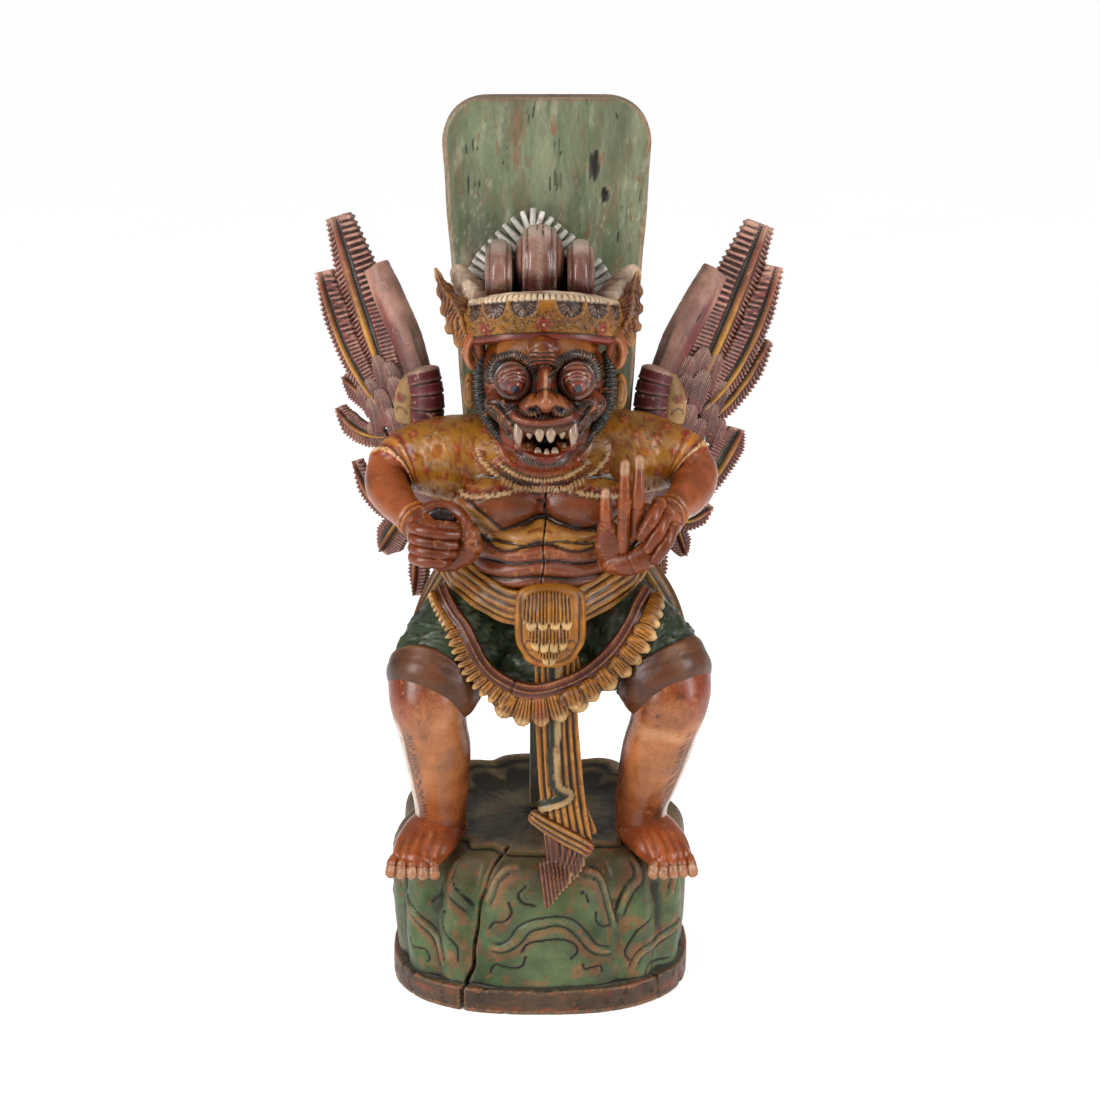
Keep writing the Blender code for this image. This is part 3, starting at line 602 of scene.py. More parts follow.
rows = [(0.0, 0 * top), (0.984, 0 * top)]
rows += [(0.996, 0 * top + s * (ledge - 0.001)) for s in np.linspace(0.05, 1, 11)]
rows += [(0.988, ledge), (0.976, ledge + 0.0004)]
for s in np.linspace(0, 1, 62):
    bulge = 1 + WALL_BULGE * math.sin(math.pi * s * 0.8)
    reach = WALL_REACH * (1 - VALLEY_CUT * valley * (0.35 + 0.65 * s)) * bulge
    rows.append((reach, ledge + 0.0012 + (shoulder - ledge - 0.0012) * s))
for lean in np.radians(np.linspace(6, 90, 15)):
    pulled = reach - RIM_ROUNDING * (1 - math.cos(lean)) / (BASE_WIDTH / 2)
    rows.append((pulled, shoulder + (top - shoulder) * math.sin(lean)))
for s in np.linspace(0.97, 0.0, 16):
    dish = DISH_DEPTH * smooth(1.0, 0.7, s) * (0.25 + 0.75 * (1 + np.cos(turn - math.pi)) / 2)
    at = pulled * s
    level = (ROCK_FRONT
             + (ROCK_BACK - ROCK_FRONT) * np.clip(0.5 + plan[:, 1] * at / BASE_DEPTH, 0, 1))
    rows.append((at, level - dish * (0.3 + 0.7 * (s > 0))))
rock = np.stack([np.concatenate([plan * np.broadcast_to(r, turn.shape)[:, None],
                                 np.broadcast_to(z, turn.shape)[:, None]], axis=1) for r,
                 z in rows])
rock[-1] = rock[-1].mean(axis=0)
spread = np.stack([np.broadcast_to(r, turn.shape) for r, _ in rows])
print("rock grid", rock.shape)

# %% [markdown]
# ## The drawing on the rock
#
# Each path below is a row of (degrees from the front, height in mm). A ribbon swells where
# its curve passes and sinks on both sides, a hook is one cut of the gouge, and the crack
# is a jagged line that goes deepest.

# %% The map of ribbons, hooks and the crack
RIBBONS = (
    ((-69, 95), (-58, 83), (-50, 73), (-44, 64), (-40, 53), (-37, 30)),
    ((-34, 138), (-34, 122), (-32, 109), (-28, 99), (-24, 91)),
    ((-17, 100), (-15, 110), (-13, 123), (-9, 132), (-4, 133)),
    ((12, 130), (19, 125), (22, 110), (24, 94), (27, 74)),
    ((-16, 63), (-10, 62), (-6, 69), (-3, 81), (3, 88), (8, 84), (12, 73), (16, 61), (22, 56),
     (26, 57)),
    ((39, 141), (38, 120), (34, 109), (31, 96), (29, 85)),
    ((71, 63), (59, 56), (50, 51), (43, 51), (37, 46), (34, 30)),
    ((74, 128), (70, 112), (62, 102), (60, 88)),
    ((88, 104), (97, 88), (106, 80), (112, 60), (114, 34)),
    ((128, 132), (122, 112), (114, 102), (110, 92)),
    ((134, 80), (142, 94), (152, 98), (160, 84), (166, 60)),
    ((-88, 128), (-84, 110), (-76, 100), (-73, 86)),
    ((-84, 70), (-96, 82), (-104, 96), (-110, 120)),
    ((-124, 96), (-116, 84), (-112, 66), (-108, 36)),
    ((-134, 80), (-142, 94), (-152, 98), (-160, 84), (-166, 60)),
)
HOOKS = (
    ((-42, 108), (-42, 101), (-45, 92)),
    ((-35, 88), (-39, 85), (-39, 77), (-37, 72), (-33, 66), (-29, 57), (-29, 44)),
    ((-57, 53), (-56, 46), (-52, 46), (-48, 46), (-46, 39), (-47, 35)),
    ((-8, 104), (-7, 95), (-9, 87), (-13, 85), (-15, 79)),
    ((-3, 54), (-4, 45), (-7, 43), (-10, 45), (-13, 45), (-15, 37)),
    ((12, 46), (13, 41), (15, 42), (19, 43), (20, 37)),
    ((17, 94), (17, 86), (20, 80), (24, 79)),
    ((11, 114), (13, 111), (14, 104)),
    ((-3, 118), (-5, 112), (-4, 105), (-1, 102)),
    ((48, 94), (49, 84), (44, 78), (37, 72), (34, 64), (31, 51), (33, 43)),
    ((61, 30), (50, 33), (44, 34), (42, 24)),
    ((31, 145), (32, 135), (30, 128), (27, 126)),
    ((-4, 59), (-2, 67), (4, 71), (9, 66), (10, 58), (8, 52)),
    ((88, 60), (92, 50), (98, 52), (103, 42)),
    ((-88, 52), (-92, 44), (-98, 48), (-102, 38)),
    ((130, 60), (136, 48), (144, 52), (150, 40)),
    ((-130, 60), (-136, 48), (-144, 52), (-150, 40)),
    ((120, 76), (126, 68), (124, 54)),
)
CRACK = ((-12, 146), (-16, 131), (-18, 113), (-20, 99), (-21, 79), (-22, 60), (-23, 40), (-26, 22),
         (-26, 0))
SMALL_CRACK = ((47, 48), (48, 30), (48, 0))

across = np.broadcast_to(degrees * MM_PER_DEGREE, rock.shape[:2])
height = rock[..., 2] * 1000
wobble = ripple(11, across * 0.05, height * 0.05)


def on_map(path, samples):
    """The distance, the share along and the side of a path drawn on the unrolled wall."""
    return near([(deg * MM_PER_DEGREE, z) for deg, z in path], across, height, samples)


on_wall = (smooth(0.84, 0.9, spread)
           * smooth(PLINTH_HEIGHT * 1000 + 1, PLINTH_HEIGHT * 1000 + 5, height))
relief = 0.6 * wobble
green = mix(LEAF * 1.15, (0.062, 0.145, 0.045), mottle(-0.1, 0.9, 12, across * 0.07, height * 0.06))
rock_paint = mix(green, (0.13, 0.095, 0.055), smooth(92, 136, height) * 0.85)
stain = mottle(0.15, 0.75, 13, across * 0.11, height * 0.09)
ORANGE = np.array([0.4, 0.115, 0.045])
rock_paint = mix(rock_paint, ORANGE, stain * 0.45 * on_wall * smooth(135, 100, height))
for path in RIBBONS:
    gap, along, side = on_map(path, 32)
    taper = smooth(-0.02, 0.1, along) * smooth(1.02, 0.85, along)
    crest = bump(gap, 3.6) * taper
    relief += (on_wall
               * (2.3 * crest - 1.2 * bump(gap - 4.2, 1.3) * taper - 0.9 * bump(gap, 0.9) * crest))
    rock_paint = coats(
        rock_paint,
        ((0.34, 0.27, 0.15), on_wall * smooth(0.45, 0.95, crest) * smooth(-0.6, 0.4, wobble) * 0.8),
        (ORANGE, on_wall * bump(gap - 8, 4.0) * (side > 0) * taper * 0.45),
        (DEEP_BROWN, on_wall * bump(gap - 4.2, 1.1) * taper * 0.55))
for path in HOOKS:
    gap, along, side = on_map(path, 20)
    line = bump(gap, 1.25) * on_wall
    relief -= 2.0 * line
    rock_paint = mix(rock_paint, BLACK * 1.4, line)
for path, wide, deep in ((CRACK, 1.9, 8.0), (SMALL_CRACK, 0.8, 2.0)):
    jagged = [(deg + 0.35 * math.sin(9 * z), z) for deg, z in path]
    gap, along, side = on_map(jagged, 60)
    line = bump(gap, wide) * (spread > 0.66)
    relief -= deep * line
    rock_paint = mix(rock_paint, BLACK, smooth(0.05, 0.5, line))

# The reach as a share of one row of the top: it places the painted shade on the top and the worn
# ring.
to_rim = spread / spread[PAINT_ROW]
on_top = smooth(0.88, 0.7, to_rim) * (height > 100)
rim = bump(to_rim - 0.9, 0.05) * (height > 90)
rock_paint = mix(rock_paint, (0.27, 0.23, 0.16), rim * 0.6 * smooth(-0.5, 0.5, wobble))
x, y = rock[..., 0] * 1000, rock[..., 1] * 1000
worn_top = ripple(14, x * 0.05, y * 0.05)
# Over its middle and back, under the figure, the top is painted near black as shade.
painted_top_shade = mix((0.014, 0.011, 0.008), (0.022, 0.026, 0.018), smooth(-0.1, 0.9, worn_top))
rock_paint = mix(rock_paint, painted_top_shade, smooth(0.97, 0.8, to_rim) * (height > 100)
                 * smooth(-116, -46, y + 14 * worn_top) * 0.96)
relief += on_top * (0.9 * worn_top - 0.7 * mottle(0.2, 0.9, 18, x * 0.05, y * 0.21))
on_plinth = (height < (ledge * 1000 + 0.9)[None]) & (height > -1)
wood = coats(
    (0.09, 0.06, 0.035), ((0.22, 0.07, 0.03), mottle(0.0, 0.8, 15, across * 0.06, height * 0.2)),
    ((0.055, 0.04, 0.022), mottle(0.2, 0.9, 16, across * 0.12, height * 0.25)))
rock_paint = np.where(on_plinth[..., None], wood, rock_paint)
relief -= on_plinth * mottle(0.35, 0.8, 17, across * 0.16, height * 0.3) * 1.3

base = Piece("rock_base")
carved = raised(rock, relief)
carved[0], carved[-1] = rock[0], rock[-1]
carved[..., 2] = np.maximum(carved[..., 2], 0)
base.add(carved, rock_paint)
base.finish(ROCK_FINISH, "figure_paint", "statue")

# %% [markdown]
# ## The back board
#
# Behind the figure the block was left as a plain board, which carried some higher part that
# is not in this photograph. It was faced with a wide flat gouge and painted thinly, so the
# long shallow scoops of the tool still show through the green, and a few splinters have
# lifted out. Its upright scoops are a wave that is much quicker across than along.

# %% The board
Grid.share = 0.7
BOARD_TOP = 0.7798
BOARD_FRONT_Y = 26.0
BOARD_THICKNESS = 30.0
CORNER = 0.04
rise = np.concatenate([np.linspace(0.07, 0.44, 28), np.linspace(0.445, BOARD_TOP - CORNER, 94),
                       BOARD_TOP - CORNER * (1 - np.sin(np.radians(np.linspace(5, 90, 14))))])
half = np.interp(rise, [0, 0.256, 0.336, 0.508, BOARD_TOP], [21, 21, 67.5, 75, 93])
in_corner = np.clip((rise - BOARD_TOP + CORNER) / CORNER, 0, 1)
half = half - 40 * (1 - np.sqrt(1 - in_corner ** 2))
middle = np.interp(rise, [0.256, 0.436], [11, 6])
half = half - 0.8 - 0.8 * ripple(21, rise * 22)


def rounded_section(count_front, count_side):
    """A flat box section as shares of half width and depth, with chamfered corners."""
    front = np.linspace(-1, 1, count_front)
    side = np.linspace(0.06, 0.94, count_side)
    xs = np.concatenate([front * 0.965, np.full(count_side, 1.0), -front * 0.965,
                         np.full(count_side, -1.0)])
    ys = np.concatenate([np.zeros(count_front), side, np.ones(count_front), side[::-1]])
    return xs, ys


xs, ys = rounded_section(90, 7)
board = np.stack([middle[:, None] + half[:, None] * xs, np.broadcast_to(
    BOARD_FRONT_Y + ys * BOARD_THICKNESS, (len(rise), len(xs))),
    np.broadcast_to((rise[:, None] - ROCK_FRONT) / PART, (len(rise), len(xs)))], -1)
x, z = board[..., 0], board[..., 2]
scoop = ripple(22, x * 0.16, z * 0.02)
streak = ripple(23, x * 0.42, z * 0.035)
splinter = mottle(0.55, 0.8, 24, x * 0.22, z * 0.05)
hole = bump(elliptic(x - 47, 8, z - 585, 26), 1.0) + bump(elliptic(x - 56, 6, z - 560, 10), 1.0)
relief = 0.75 * scoop + 0.25 * streak - splinter - 3.5 * smooth(0.35, 0.8, hole + 0.3 * streak)
relief = relief * smooth(0.0, 0.08, 1 - np.abs(np.broadcast_to(xs, x.shape)))
edge_gap = np.minimum(half[:, None] * (1 - np.abs(xs)), ((BOARD_TOP - rise) / PART)[:, None])
paint = coats(
    (0.2, 0.235, 0.15), ((0.125, 0.165, 0.095), smooth(-0.5, 0.6, scoop)),
    ((0.21, 0.13, 0.07), smooth(0.15, 0.8, streak) * 0.65),
    ((0.3, 0.085, 0.05), mottle(0.45, 0.9, 25, x * 0.1, z * 0.016) * 0.42),
    ((0.44, 0.44, 0.34), mottle(0.35, 0.9, 26, x * 0.13, z * 0.04) * 0.55))
scratch = (bump(ripple(27, x * 0.3 + z * 0.08, z * 0.05), 0.05)
           * mottle(0.0, 0.6, 28, x * 0.05, z * 0.03))
paint = coats(
    paint, ((0.5, 0.49, 0.4), scratch * 0.6),
    (DEEP_BROWN, smooth(0.35, 0.8, hole + 0.3 * streak) * 0.8),
    ((0.21, 0.12, 0.07), bump(edge_gap, 4.0) * 0.8),
    (DARK_GREEN * 1.2, smooth(150, 60, z) * 0.8))
board = raised(metres(board), relief)
ends = board[[0, -1]].mean(axis=1, keepdims=True).repeat(len(xs), 1)
board = np.concatenate([ends[:1], board, ends[1:]])
paint = np.concatenate([paint[:1], paint, paint[-1:]])
back_board = Piece("back_board")
back_board.add(board, paint)
back_board.finish(BOARD_FINISH, "figure_paint", "statue")

# %% [markdown]
# ## The trunk
#
# The trunk is one skin over several egg-shaped masses: chest, breasts, belly and hips. The
# carver cut the belly as a stack of soft rolls, and the painter then drew their shadows in
# blue-grey, laid a wavy yellow band under the breasts, and painted the jacket straight on
# the body as flowers and scrolls on an ochre ground. A drying crack runs down the middle.

# %% The trunk
Grid.share = 0.72
TRUNK_AXIS = ((3, -20, 190), (3, -24, 240), (3, -24, 300), (3, -16, 352), (3, -20, 372))
TRUNK = ((2, -26, 318, 82, 50, 50), (-33, -62, 308, 37, 26, 24), (38, -62, 308, 37, 26, 24),
         (2, -14, 262, 66, 46, 92), (3, -50, 262, 66, 62, 40), (3, -14, 212, 74, 50, 44),
         (-66, -4, 312, 26, 22, 34), (74, -4, 312, 26, 22, 34), (3, -30, 352, 52, 44, 34),
         (-38, -28, 346, 37, 34, 26), (44, -28, 348, 37, 34, 26),
         (-60, -2, 262, 22, 20, 44), (66, -2, 262, 22, 20, 44))
trunk = swell(TRUNK_AXIS, TRUNK, melt=5, rows=230, ring=330, front=0.62)
x, y, z = grid_of(trunk)
facing = smooth(-8, -34, y)
from_middle = x - 3
FOLDS = ((281, 3.0), (267, 3.4), (253, 3.4), (240, 3.0))
JACKET_EDGE = ((-110, 322), (-84, 318), (-62, 315), (-38, 318), (-14, 322), (3, 323), (22, 322),
               (44, 318), (66, 315), (90, 318), (110, 324))
WAVY_BAND = ((-88, 322), (-72, 312), (-52, 299), (-40, 288), (-30, 284), (-14, 289), (0, 293),
             (16, 289), (33, 284), (53, 287), (74, 296), (90, 310))

relief = np.zeros(x.shape)
body_paint = coats(
    SKIN * 0.8, (PINK * 0.62, bump(z - 262, 44) * 0.7),
    (SKIN_DARK * 1.2, mottle(0.1, 0.9, 31, x * 0.05, z * 0.06) * 0.35))
for k, (place, deep) in enumerate(FOLDS):
    line = place + 3.0 * np.cos(from_middle / 30) + 1.2 * np.sin(from_middle * 0.11 + k)
    gap = z - line
    on = facing * smooth(62, 44, np.abs(from_middle))
    relief += on * (2.4 * bump(gap - 6.5, 6.5) - deep * 0.8 * bump(gap, 2.0))
    body_paint = coats(
        body_paint, (PINK * 1.1, on * bump(gap - 7, 5) * 0.45),
        ((0.1, 0.09, 0.1), on * bump(gap + 0.8, 1.7) * 0.55),
        ((0.34, 0.08, 0.03), on * bump(gap + 5, 2.6) * 0.5))
gap, along, side = near(WAVY_BAND, x, z, 60)
on = facing * smooth(1.0, 0.97, along) * smooth(0.0, 0.03, along)
band = smooth(7.0, 5.6, gap) * on
relief = relief + band - 1.6 * bump(gap - 7.6, 1.8) * on
body_paint = coats(
    body_paint, ((0.1, 0.09, 0.09), bump(gap - 8.2, 1.9) * on * 0.75),
    ((0.85, 0.58, 0.15), band * 0.9),
    (RED * 1.1, bump(gap - 1.5, 1.6) * on * (side > 0) * (np.sin(along * 26) > -0.2) * 0.9))
for cx in (-33, 38):
    gap = elliptic(x - cx, 34, z - 312, 22)
    relief -= 1.4 * bump((gap - 1) * 22, 3) * facing * (z < 316)
    body_paint = coats(
        body_paint, ((0.3, 0.075, 0.03), bump((gap - 1) * 22, 5) * facing * (z < 318) * 0.7),
        ((0.46, 0.17, 0.08), bump(gap, 0.7) * facing * 0.5))

# %% [markdown]
# ## The painted jacket
#
# Nothing of the jacket is carved deep. Flowers sit on a staggered grid and are shifted by
# seeded amounts, so that no two neighbours match, and the scrolls between them follow the
# places where soft noise changes sign. Pearls are domes along a line.

# %% The jacket and the collar on the trunk


def flowers(a, b, pitch, seed):
    """Five-petalled flowers scattered on a grid of the given pitch: returns the share of
    petal, of its outline and of its heart at each point (a, b)."""
    draw = np.random.default_rng(seed)
    shift = draw.uniform(-0.25, 0.25, (64, 64, 3))
    row = np.floor(b / pitch).astype(int)
    cell_a, cell_b = a / pitch + 0.5 * (row % 2), b / pitch
    ia, ib = np.floor(cell_a).astype(int) % 64, row % 64
    da = cell_a - np.floor(cell_a) - 0.5 + shift[ia, ib, 0]
    db = cell_b - np.floor(cell_b) - 0.5 + shift[ia, ib, 1]
    radius, angle = np.hypot(da, db), np.arctan2(db, da)
    petals = (0.17 + 0.25 * shift[ia, ib, 2]) * (1 + 0.3 * np.cos(5 * angle + ia))
    return (smooth(petals + 0.02, petals - 0.03, radius), bump(radius - petals - 0.02, 0.035),
            smooth(0.09, 0.05, radius))


def jacket_paint(a, b, seed, pitch=15.0):
    """The ochre ground with red flowers among brown scrolls, with relief for both. The
    scrolls are the lines along which two soft noises pass through zero."""
    flower, outline, heart = flowers(a, b, pitch, seed)
    scroll = (bump(ripple(seed + 5, a * 0.085, b * 0.085), 0.07)
              + bump(ripple(seed + 6, a * 0.11, b * 0.11), 0.05))
    line = np.clip(outline + scroll * (1 - flower), 0, 1)
    colour = coats(
        GOLD * (0.95, 1.08, 0.8),
        (GOLD_DARK * 1.2, mottle(0.0, 0.9, seed, a * 0.05, b * 0.05) * 0.7),
        (RED * 1.3, flower * 0.75), ((0.24, 0.05, 0.016), line * 0.75),
        (GOLD * 1.2, heart))
    return colour, 0.5 * flower - 0.45 * line + 0.3 * heart


def beads(along_mm, gap, pitch=4.4, radius=2.1):
    """A row of pearls: domes spaced along a line, as heights from 0 to 1."""
    step = along_mm / pitch
    offset = (step - np.floor(step) - 0.5) * pitch
    return np.sqrt(np.clip(1 - (offset ** 2 + gap ** 2) / radius ** 2, 0, 1))


gap, along, side = near(JACKET_EDGE, x, z, 60)
above = (z > np.interp(x, [p[0] for p in JACKET_EDGE], [p[1] for p in JACKET_EDGE])) | (y > -8)
above = above & (z > 250)
jacket, lift = jacket_paint(x + 0.35 * y, z, 41, 21.0)
body_paint = np.where(above[..., None], jacket, body_paint)
relief = np.where(above, 0.9 + lift, relief)
border = facing * (gap < 9.0) * above
pearl = beads(along * 230, gap - 3.2)
body_paint = coats(
    body_paint, (CREAM * 0.9, border * (pearl > 0.05)),
    (RED, border * bump(gap - 7.2, 1.6) * 0.9),
    (BROWN * 0.8, border * (pearl <= 0.05) * (gap < 6) * 0.8))
relief += border * (1.3 * pearl - 0.6)
collar_reach = elliptic(x - 3, 62, z - 366, 46)
ring_of = np.arctan2(x - 3, 366 - z)
for place in (0.93, 0.74):
    gap = (collar_reach - place) * 46 + 60 * (place < 0.9) * (np.abs(ring_of) > 1.1)
    on = facing * (np.abs(ring_of) < 1.35)
    pearl = beads(ring_of * 58 * place, gap, 3.6, 1.7)
    relief += on * (1.5 * pearl + 0.8 * bump(gap, 4.5))
    body_paint = coats(
        body_paint, (GOLD_DARK, on * bump(gap, 5.5) * 0.7),
        (CREAM * 0.7, on * (pearl > 0.05)),
        (RED, on * bump(gap - 4.2, 1.3) * 0.8))
rim = facing * bump((collar_reach - 0.6) * 46, 3.4)
body_paint = mix(body_paint, RED * 1.1, rim * 0.8)
relief += 1.6 * rim
CRACK_LINE = ((5, 322), (4, 310), (5, 296), (3, 282), (4, 268), (2, 254), (0, 238), (-2, 226))
gap, along, side = near([(a + 0.5 * math.sin(9 * b), b) for a, b in CRACK_LINE], x, z, 80)
line = bump(gap, 0.85) * facing
relief -= 3.0 * line
body_paint = mix(body_paint, BLACK, smooth(0.15, 0.6, line))
body_paint = mix(body_paint, body_paint * 0.7, facing * smooth(332, 316, z))

trunk_piece = Piece("trunk")
trunk_piece.add(raised(trunk, relief), body_paint)
trunk_piece.finish(SKIN_FINISH, "figure_paint", "statue")

# %% [markdown]
# ## The arms
#
# Both arms are bent. The figure's right hand is closed round something that is lost, and
# its left hand is raised in a gesture, palm out, with two fingers curled. The sleeves end
# above the elbow with a red stripe and pearls, and each wrist wears a bracelet. Skin is a
# warm lacquer, painted darker, as shade, on the side of each finger that faces away from the front.

# %% The arms
Grid.share = 0.6
ARMS = {
    -1: ((-56, -20, 338, 38, 40), (-80, -21, 339, 36, 37), (-102, -23, 339, 31, 32),
         (-120, -27, 335, 25, 26), (-130, -35, 327, 21, 21), (-130, -48, 319, 19, 19),
         (-123, -64, 312, 17, 17), (-113, -82, 306, 15, 14), (-104, -96, 301, 14, 13),
         (-96, -106, 295, 13, 12)),
    1: ((58, -20, 342, 38, 40), (84, -21, 343, 36, 37), (104, -23, 342, 31, 32),
        (122, -27, 338, 25, 26), (132, -35, 330, 21, 21), (132, -48, 322, 19, 19),
        (126, -64, 316, 17, 17), (117, -82, 312, 15, 14), (110, -97, 308, 14, 12),
        (104, -107, 302, 13, 11)),
}
SLEEVE_END = 0.41
arms = Piece("arms")
for side, rows in ARMS.items():
    points, u, v = limb(rows, side=UP, length=190, ring=120)
    x, y, z = grid_of(points)
    ripples = ripple(50 + side, u * 14, v * 1.1)
    paint = coats(
        SKIN, (SKIN * 1.55, smooth(0.1, 0.9, ripples) * 0.55),
        (SKIN_DARK, mottle(0.2, 0.9, 52 + side, u * 22, v * 2) * 0.5))
    relief = 0.5 * ripples
    a_along, a_round = u * 250, v * 33
    jacket, lift = jacket_paint(a_along, a_round, 43 + side, 23.04)
    u_hem = u - 0.02 * np.sin(v)
    sleeve = u_hem < SLEEVE_END
    paint = np.where(sleeve[..., None], jacket, paint)
    relief = np.where(sleeve, 1.2 + lift, relief)
    for back, colour, wide in ((0.1, RED, 3.4), (0.068, GOLD * 1.5, 3.4), (0.044, RED, 2.0),
                               (0.004, RED * 1.4, 3.0)):
        gap = (u_hem - SLEEVE_END + back) * 250
        paint = mix(paint, colour, bump(gap, wide) * 0.9)
        relief -= 0.7 * bump(gap, wide * 0.8)
    pearl = beads(a_round, (u_hem - SLEEVE_END + 0.024) * 250, 5.184, 2.5)
    relief += 1.4 * pearl
    paint = mix(paint, CREAM, pearl > 0.05)
    from_rose = np.hypot(x - side * 88, z - 352)
    petals = 12 * (1 + 0.14 * np.cos(8 * np.arctan2(z - 352, x - side * 88)))
    on_front = smooth(-28, -36, y)
    relief = (relief + 1.3 * smooth(petals, petals - 2, from_rose) * on_front
              - 0.8 * bump(from_rose - 6.5, 1.2) * on_front)
    paint = mix(paint, GOLD * 1.25, smooth(petals, petals - 1.5, from_rose) * on_front * 0.8)
    for reach, colour in ((petals, CREAM * 0.62), (7.0, CREAM * 0.62), (3.6, RED * 1.5)):
        paint = mix(paint, colour, bump(from_rose - reach, 1.2) * on_front * 0.75)
    for place in (0.845, 0.882):
        gap = (u - place) * 250
        relief += 2.6 * bump(gap, 4.0) * (1 - 0.25 * np.abs(np.sin(v * 22)))
        paint = coats(
            paint, (GOLD, smooth(0.35, 0.6, bump(gap, 4.4))),
            (RED,
             np.clip(bump(gap - 4.6, 1.5) + bump(gap, 1.4) * (np.sin(v * 15) > 0), 0, 1) * 0.9))
    relief -= bump((u - 0.9) * 250, 2)
    arms.add(raised(points, relief), paint)
arms.finish(SKIN_FINISH, "figure_paint", "statue")

# %% [markdown]
# ## The hands
#
# A finger is a short limb with two creases and a nail. The half of it that faces away from
# the front is painted darker, as shade. Both hands use the one function below.

# %% The hands
Grid.share = 0.62
hands = Piece("hands")


def hand_part(rows, side=UP, colour=SKIN, nail=0.0, blunt=1.0, length=48, ring=40):
    """A finger or a pad, with creases at its joints, painted shade on the half that faces away
    from the front, and a nail if asked.
    """
    points, u, v = limb(rows, side=side, length=length, ring=ring, blunt=blunt)
    y = grid_of(points)[1]
    tone = ripple(int(abs(rows[0][0] * 7 + rows[0][2])), u * 4, v * 0.8)
    # The half of each ring that faces away from the front is painted darker, as shade.
    paint = coats(
        colour, (colour * 1.5, smooth(0.0, 0.9, tone) * 0.5),
        (SKIN_DARK * 0.6, smooth(-0.1, 0.9, y - y.mean(axis=1, keepdims=True)) * 0.6))
    relief = 0.3 * tone
    for joint in (0.36, 0.68):
        crease = bump(u - joint, 0.018)
        relief -= 0.7 * crease
        paint = mix(paint, SKIN_DARK, crease * 0.6)
    front = (y < y.mean(axis=1, keepdims=True)) * smooth(0.84, 0.9, u)
    paint = mix(paint, BONE * 0.9, front * nail)
    hands.add(raised(points, relief - 0.5 * nail * bump(u - 0.86, 0.02)), paint)


PALM_SKIN = np.array([0.19, 0.051, 0.014])
hand_part([(-100, -98, 292, 15, 12), (-88, -100, 288, 19, 13), (-72, -102, 286, 17, 12)],
          colour=PALM_SKIN)
hand_part([(-84, -104, 268, 8, 9), (-72, -108, 272, 10, 10), (-60, -110, 283, 12, 11),
           (-59, -112, 294, 9, 9)],
          colour=PALM_SKIN)
for high, low, far in ((301, 297, -70), (292, 288, -72), (283, 280, -74), (275, 273, -78)):
    hand_part([(-100, -100, high, 5.2, 6), (-105, -112, high, 5.4, 6), (-99, -122, high, 5.3, 6),
               (-84, -127, (high + low) / 2, 5.1, 6), (far, -121, low, 4.6, 5.5)], colour=PALM_SKIN,
              length=64)
hand_part([(-103, -110, 303, 5, 5), (-99, -100, 311, 5.5, 5), (-84, -95, 315, 5.5, 5),
           (-69, -100, 311, 5.5, 5), (-61, -110, 302, 5.5, 5), (-63, -118, 294, 4.5, 4.5)],
          colour=PALM_SKIN, length=64)
# A near-black ball fills the hole in the closed hand, as painted shade.
shaded_hollow = ball((-83, -100, 306), (14, 5, 9), 30, 40)
hands.add(shaded_hollow, BLACK * 1.5)

hand_part([(62, -108, 270, 13, 9), (59, -114, 285, 13, 9), (57, -117, 301, 9, 8)], ACROSS,
          PALM_SKIN, length=60)
hand_part([(61, -112, 270, 10, 9), (76, -117, 271, 11, 10), (91, -116, 279, 11, 10),
           (103, -108, 292, 11, 10)],
          colour=PALM_SKIN, length=60)
hand_part([(75, -106, 288, 12, 8), (86, -104, 302, 14, 9), (90, -102, 312, 10, 7)], BACKWARD,
          PALM_SKIN * 0.7)
for low, middle, tip, r in (((57, -117, 296), (55.5, -123, 315), (55.5, -121, 333), 5.6),
                            ((70, -117, 284), (70.5, -126, 322), (71, -123, 358), 5.6),
                            ((80, -115, 296), (82, -125, 330), (83, -120, 361), 5.6)):
    hand_part([(*low, r, r), (*middle, r * 0.95, r), (*tip, r * 0.72, r * 0.75)], ACROSS, nail=0.6,
              length=60)
for k in range(3):
    x0, z0 = 99 + 6 * k, 319 - 10 * k
    hand_part([(x0 + 3, -100, z0, 6.4, 6), (x0, -116, z0 + 1, 6.4, 6), (x0 - 6, -128, z0 - 9, 6, 6),
               (x0 - 14, -128, z0 - 22, 5, 5)], BACKWARD, PALM_SKIN * (1.2 - 0.15 * k), length=60)
hands.finish(SKIN_FINISH, "figure_paint", "statue")

# %% [markdown]
# ## Legs and feet
#
# The legs are bent wide apart, as in a dancer's stance. The painter shaded the knees with
# red and drew short hairs down the outside of the shins with a fine brush. Behind the hairs
# a bright strip is a painted reflection of a side light, and a paler front down each shin is
# a painted highlight. The toes have lost their paint, where hands and cloths rub them.

# %% The legs
Grid.share = 0.5
LEGS = {
    -1: ((-90, -66, 166, 36, 38), (-95, -84, 156, 35, 37), (-96, -94, 142, 33, 35),
         (-93, -88, 118, 30, 32), (-90, -80, 95, 29, 31), (-88, -70, 62, 26, 27),
         (-87, -64, 40, 23, 24), (-87, -60, 16, 22, 24)),
    1: ((106, -66, 168, 36, 38), (112, -84, 159, 35, 37), (113, -94, 146, 33, 35),
        (108, -88, 120, 30, 32), (102, -80, 95, 29, 31), (94, -70, 62, 26, 27),
        (89, -64, 40, 23, 24), (89, -60, 16, 22, 24)),
}
FEET = {
    -1: (((-84, -42, 9, 20, 18), (-93, -66, 13, 25, 20), (-102, -90, 8, 25, 15),
          (-109, -107, 1, 21, 11)), (-110, -111, -19)),
    1: (((86, -42, 9, 20, 18), (94, -64, 13, 25, 20), (105, -87, 9, 24, 15),
         (114, -105, 2, 19, 11)), (115, -109, 17)),
}
legs = Piece("legs_and_feet")
